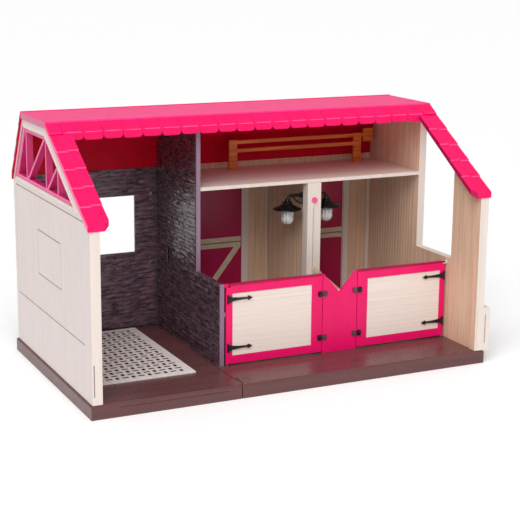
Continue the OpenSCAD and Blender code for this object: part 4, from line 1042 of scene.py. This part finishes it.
def add_ball(shape, centre, radius):
    """Adds a ball that is cut flat on its left and right."""
    steps = 8
    profile = []
    for i in range(steps + 1):
        angle = math.radians(-80 + 160 * i / steps)
        profile.append((radius * math.cos(angle), radius * math.sin(angle)))
    add_lathe(shape, profile, centre, axis="X", turns=20)


# ---- Strap hinges and catches ----


# Half of a strap's outline: distances from the hinged edge and half heights, in mm
STRAP = [
    (6, 6.5), (11, 6.5), (12.5, 5.0), (16, 4.2), (30, 2.7), (46, 2.0), (50, 2.0), (50.6, 4.6),
    (54, 4.2), (58, 2.0), (62, 0.0),
]
# Half of the barrel's profile: radii in mm and shares of its height
BARREL = [
    (1.6, 0.5), (2.7, 0.46), (2.7, 0.2), (2.3, 0.18), (2.3, 0.14), (2.7, 0.12),
]
# Its screws: distances from the hinged edge and heights, in mm
SCREWS = ((8.5, 4.0), (8.5, -4.0), (22, 0), (42, 0))


def strap_hinges(side):
    """Wrought-iron style strap hinges: a barrel, a tapering blade with a spade tip, and screws."""
    door = "door_" + side
    node = door + "_straps"
    low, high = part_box(node)
    tall = 20 * MM
    sign = 1 if side == "left" else -1
    edge = low.x if side == "left" else high.x
    outline = STRAP + [(d, -h) for d, h in STRAP[-2::-1]]
    barrel = [(r * MM, -share * tall) for r, share in BARREL]
    barrel += [(r, -height) for r, height in barrel[::-1]]
    shape = bmesh.new()
    for z in (low.z + tall / 2, high.z - tall / 2):
        rings = []
        for y in (low.y + 0.2 * MM, high.y):
            ring = [shape.verts.new((edge + sign * d * MM, y, z + h * MM)) for d, h in outline]
            rings.append(ring)
        skin(shape, rings)
        add_lathe(shape, barrel, (edge + sign * 4.6 * MM, high.y - 0.4 * MM, z), turns=20)
        for along, rise in SCREWS:
            add_dome(shape, edge + sign * along * MM, low.y + 0.3 * MM, z + rise * MM, 1.3 * MM)
    soften(closed_piece(node + "_look", shape, "black_hinge", door, [node]), 0.45)


def add_dome(shape, x, y, z, radius):
    """Adds a domed head that stands out of a front face at y."""
    shares = [(1, 0), (1, -0.25), (0.7, -0.6), (0.25, -0.72)]
    profile = [(radius * across, radius * out) for across, out in shares]
    add_lathe(shape, profile, (x, y, z), axis="Y", turns=12)


def add_catch(shape, x, z, face, knob):
    """Adds half of a catch: a rounded plate with a dimpled boss, or with a round knob."""
    plate = 2.6 * MM
    half_wide = 5.4 * MM
    half_tall = 6.4 * MM
    count = 28
    rings = []
    for y in (face - plate, face + 0.2 * MM):
        ring = []
        for i in range(count):
            angle = 2 * math.pi * i / count
            swell = 1 + 0.14 * (1 - math.cos(4 * angle)) / 2
            across = half_wide * swell * math.cos(angle)
            up = half_tall * swell * math.sin(angle)
            ring.append(shape.verts.new((x + across, y, z + up)))
        rings.append(ring)
    skin(shape, rings)
    if knob:
        profile = [(2.6, 0), (2.8, 1.2), (4.4, 2.0), (4.8, 3.2), (4.2, 4.2), (2.4, 4.8)]
    else:
        profile = [(3.7, 0), (3.6, 1.4), (2.9, 1.9), (2.2, 1.7), (1.9, 0.2), (0.3, 0.1)]
    flat = 0.4 * MM
    turned = [(radius * MM, -plate + 0.1 * MM - out * flat) for radius, out in profile]
    add_lathe(shape, turned, (x, face, z), axis="Y", turns=24)


def catches(node, body):
    """Both levels of a node of catch halves, each where its CAD box lies."""
    low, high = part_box(node)
    wide = 11 * MM
    tall = 13 * MM
    centre = node == "centre_catches"
    middles = {
        "door_left_catches": [high.x - wide / 2],
        "door_right_catches": [low.x + wide / 2],
        "centre_catches": [low.x + wide / 2, high.x - wide / 2],
    }[node]
    shape = bmesh.new()
    for x in middles:
        for z in (low.z + tall / 2, high.z - tall / 2):
            add_catch(shape, x, z, high.y, not centre)
    look = "plum_catch" if centre else None
    soften(closed_piece(node + "_look", shape, slot_of[node], body, [node], look), 0.4)


# ---- Stage ----


def stage():
    """A pale floor, soft studio light and the camera at the photograph's angle."""
    scene = bpy.context.scene
    shape = bmesh.new()
    bmesh.ops.create_grid(shape, x_segments=1, y_segments=1, size=60)
    mesh = bpy.data.meshes.new("floor")
    shape.to_mesh(mesh)
    shape.free()
    floor = bpy.data.objects.new("floor", mesh)
    scene.collection.objects.link(floor)
    mesh.materials.append(
        plastic("floor", (252, 252, 252), (250, 250, 250), (0.7, 0.8), bump=0.0)
    )
    floor.location.z = -0.2 * MM
    world = bpy.data.worlds.new("studio")
    world.use_nodes = True
    sky = world.node_tree.nodes["Background"]
    sky.inputs["Color"].default_value = (1, 1, 1, 1)
    sky.inputs["Strength"].default_value = 0.5
    scene.world = world
    sun = bpy.data.lights.new("sun", "SUN")
    sun.energy = 2.3
    sun.angle = math.radians(50)
    add_light(sun, (-0.38, -0.5, 0.78), (0, 0, 0))
    softbox = bpy.data.lights.new("softbox", "AREA")
    softbox.size = 0.9
    softbox.energy = 9
    add_light(softbox, (-1.1, -2.3, 1.7), (0, 0, 0.3))
    scene.view_settings.view_transform = "Standard"
    add_camera()


def add_light(light, place, target):
    """Places a light so that it shines from its place towards a target."""
    source = bpy.data.objects.new(light.name, light)
    source.location = place
    way = Vector(target) - Vector(place)
    source.rotation_euler = way.to_track_quat("-Z", "Y").to_euler()
    bpy.context.scene.collection.objects.link(source)


def add_camera():
    """The camera's place and turn were solved from the barn's corners in the photograph."""
    place = (-1.2715, -2.6591, 0.9174)
    yaw, pitch, roll = (math.radians(angle) for angle in (25.96, 13.22, 0.53))
    ahead = Vector(
        (math.sin(yaw) * math.cos(pitch), math.cos(yaw) * math.cos(pitch), -math.sin(pitch))
    )
    level = Vector((math.cos(yaw), -math.sin(yaw), 0))
    above = level.cross(ahead)
    right = math.cos(roll) * level + math.sin(roll) * above
    up = math.cos(roll) * above - math.sin(roll) * level
    data = bpy.data.cameras.new("camera")
    data.lens = 93.08
    data.sensor_width = 36
    camera = bpy.data.objects.new("camera", data)
    bpy.context.scene.collection.objects.link(camera)
    turn = Matrix((right, up, -ahead)).transposed().to_4x4()
    camera.matrix_world = Matrix.Translation(place) @ turn
    bpy.context.scene.camera = camera


# ---- The whole barn ----

# Widths of the rounded edges, in mm, where they differ from the usual one
USUAL_WIDTH = 0.6
WIDTHS = {
    0.15: ("door_left_panel", "door_right_panel"),
    0.2: ("cover_screw", "front_pins", "rear_rods", "switch_board"),
    0.35: ("end_wall_left", "end_wall_right", "back_wall_stalls", "stall_divider"),
    0.4: ("drain_tray",),
    0.8: ("stall_post", "rake_left", "rake_right"),
    0.9: ("base_left", "base_right"),
    1.2: ("loft_rail", "centre_panel", "gable_truss"),
    1.4: ("roof_cap",),
    1.6: ("door_left_frame", "door_right_frame"),
}
width_of = {node: width for width, nodes in WIDTHS.items() for node in nodes}
CATCHES = {
    "door_left_catches": "door_left",
    "door_right_catches": "door_right",
    "centre_catches": "barn",
}
MODELLED = {
    "roof_front_edge", "lamp_shade_left", "lamp_shade_right", "lamp_glass_left",
    "lamp_glass_right", "lamp_arms", "door_left_straps", "door_right_straps", *CATCHES,
}
dressed = {
    name: dress(name, width_of.get(name, USUAL_WIDTH))
    for name in sorted(frame["nodes"])
    if name not in MODELLED
}

left_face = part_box("end_wall_left")[0].x
window_low, window_high = window_box()
rake_foot = cad_box[0][1] + 10 * MM


def in_wall_line(normal, middle):
    """True for the floor and sides of the level lines and of the raised rectangle's edge."""
    depth = middle.x - left_face
    return abs(depth - (LINE_DEPTH if is_end(normal, middle) else LINE_DEPTH / 2)) < NEAR


def in_window(normal, middle):
    """True for the faces in the wash bay's window."""
    in_height = window_low.z - MM < middle.z < window_high.z + MM
    return abs(normal.y) < 0.5 and in_height and window_low.x - MM < middle.x < window_high.x + MM


def looks_in(normal, middle):
    """True for the faces of the rear slope that look into the barn."""
    return normal.z < -0.1 or normal.y < -0.5


def on_rake_front(normal, middle):
    """True for the faces of a front slope that look forwards, but for its butt end."""
    return normal.y < -0.9 and middle.y > rake_foot


# Further looks of a node's faces, and the test of the faces that have them
SECOND_LOOKS = (
    # Painted warm bounce light on the stalls' inner faces
    ("back_wall_stalls", "cream_warm_bounce", lambda normal, middle: normal.y < 0.9),
    ("stall_divider", "cream_warm_bounce", lambda normal, middle: normal.y < 0.9),
    ("end_wall_right", "cream_warm_bounce", lambda normal, middle: normal.x < -0.5),
    ("end_wall_right", "cream_trim", lambda normal, middle: abs(normal.x) < 0.5),
    ("end_wall_left", "cream_trim", lambda normal, middle: normal.y < -0.9),
    # Painted shade in the left wall's grooves
    ("end_wall_left", "groove_shade", in_wall_line),
    # Painted shade on the wing's sloped top
    ("divider_wing", "wing_top_shade", lambda normal, middle: normal.z > 0.1),
    # Painted shade on the door frames' top faces
    ("door_left_frame", "pink_door_top_shade", lambda normal, middle: normal.z > 0.7),
    ("door_right_frame", "pink_door_top_shade", lambda normal, middle: normal.z > 0.7),
    ("back_wall_bay", "lilac_trim", in_window),
    # Painted shade on the truss bars' sides
    ("gable_truss", "truss_side_shade", lambda normal, middle: abs(normal.x) < 0.5),
    # Painted shade on the rear slope's underside
    ("roof_rear", "roof_underside_shade", looks_in),
    # Painted shade on the rear slope's ends
    ("roof_rear", "roof_end_shade", is_end),
    # Painted light on the cap's ends
    ("roof_cap", "cap_end_light", is_end),
    # Painted highlight on the rakes' forward faces and on the left rake's outer face
    ("rake_left", "pink_painted_highlight", on_rake_front),
    ("rake_left", "pink_painted_highlight", lambda normal, middle: normal.x < -0.9),
    ("rake_right", "pink_painted_highlight", on_rake_front),
    # Painted shade on the right rake's inner side
    ("rake_right", "rake_side_shade", lambda normal, middle: normal.x < -0.7),
    ("pin_lugs", "cream_trim", lambda normal, middle: middle.x > 0),
)
for node, look, is_second in SECOND_LOOKS:
    two_tone(dressed[node], look, is_second)

stone_on_back_wall()
stone_on_partition()
corner_strip()
front_strip()
cap_lip()
rear_shingles()
gable_frame()
stall_beads()
door_lips()
post_seam()
leaf_knuckles()
for side in ("left", "right"):
    lamp_shade(side)
    lamp_glass(side)
    strap_hinges(side)
for node, body in CATCHES.items():
    catches(node, body)
lamp_arms()
stage()
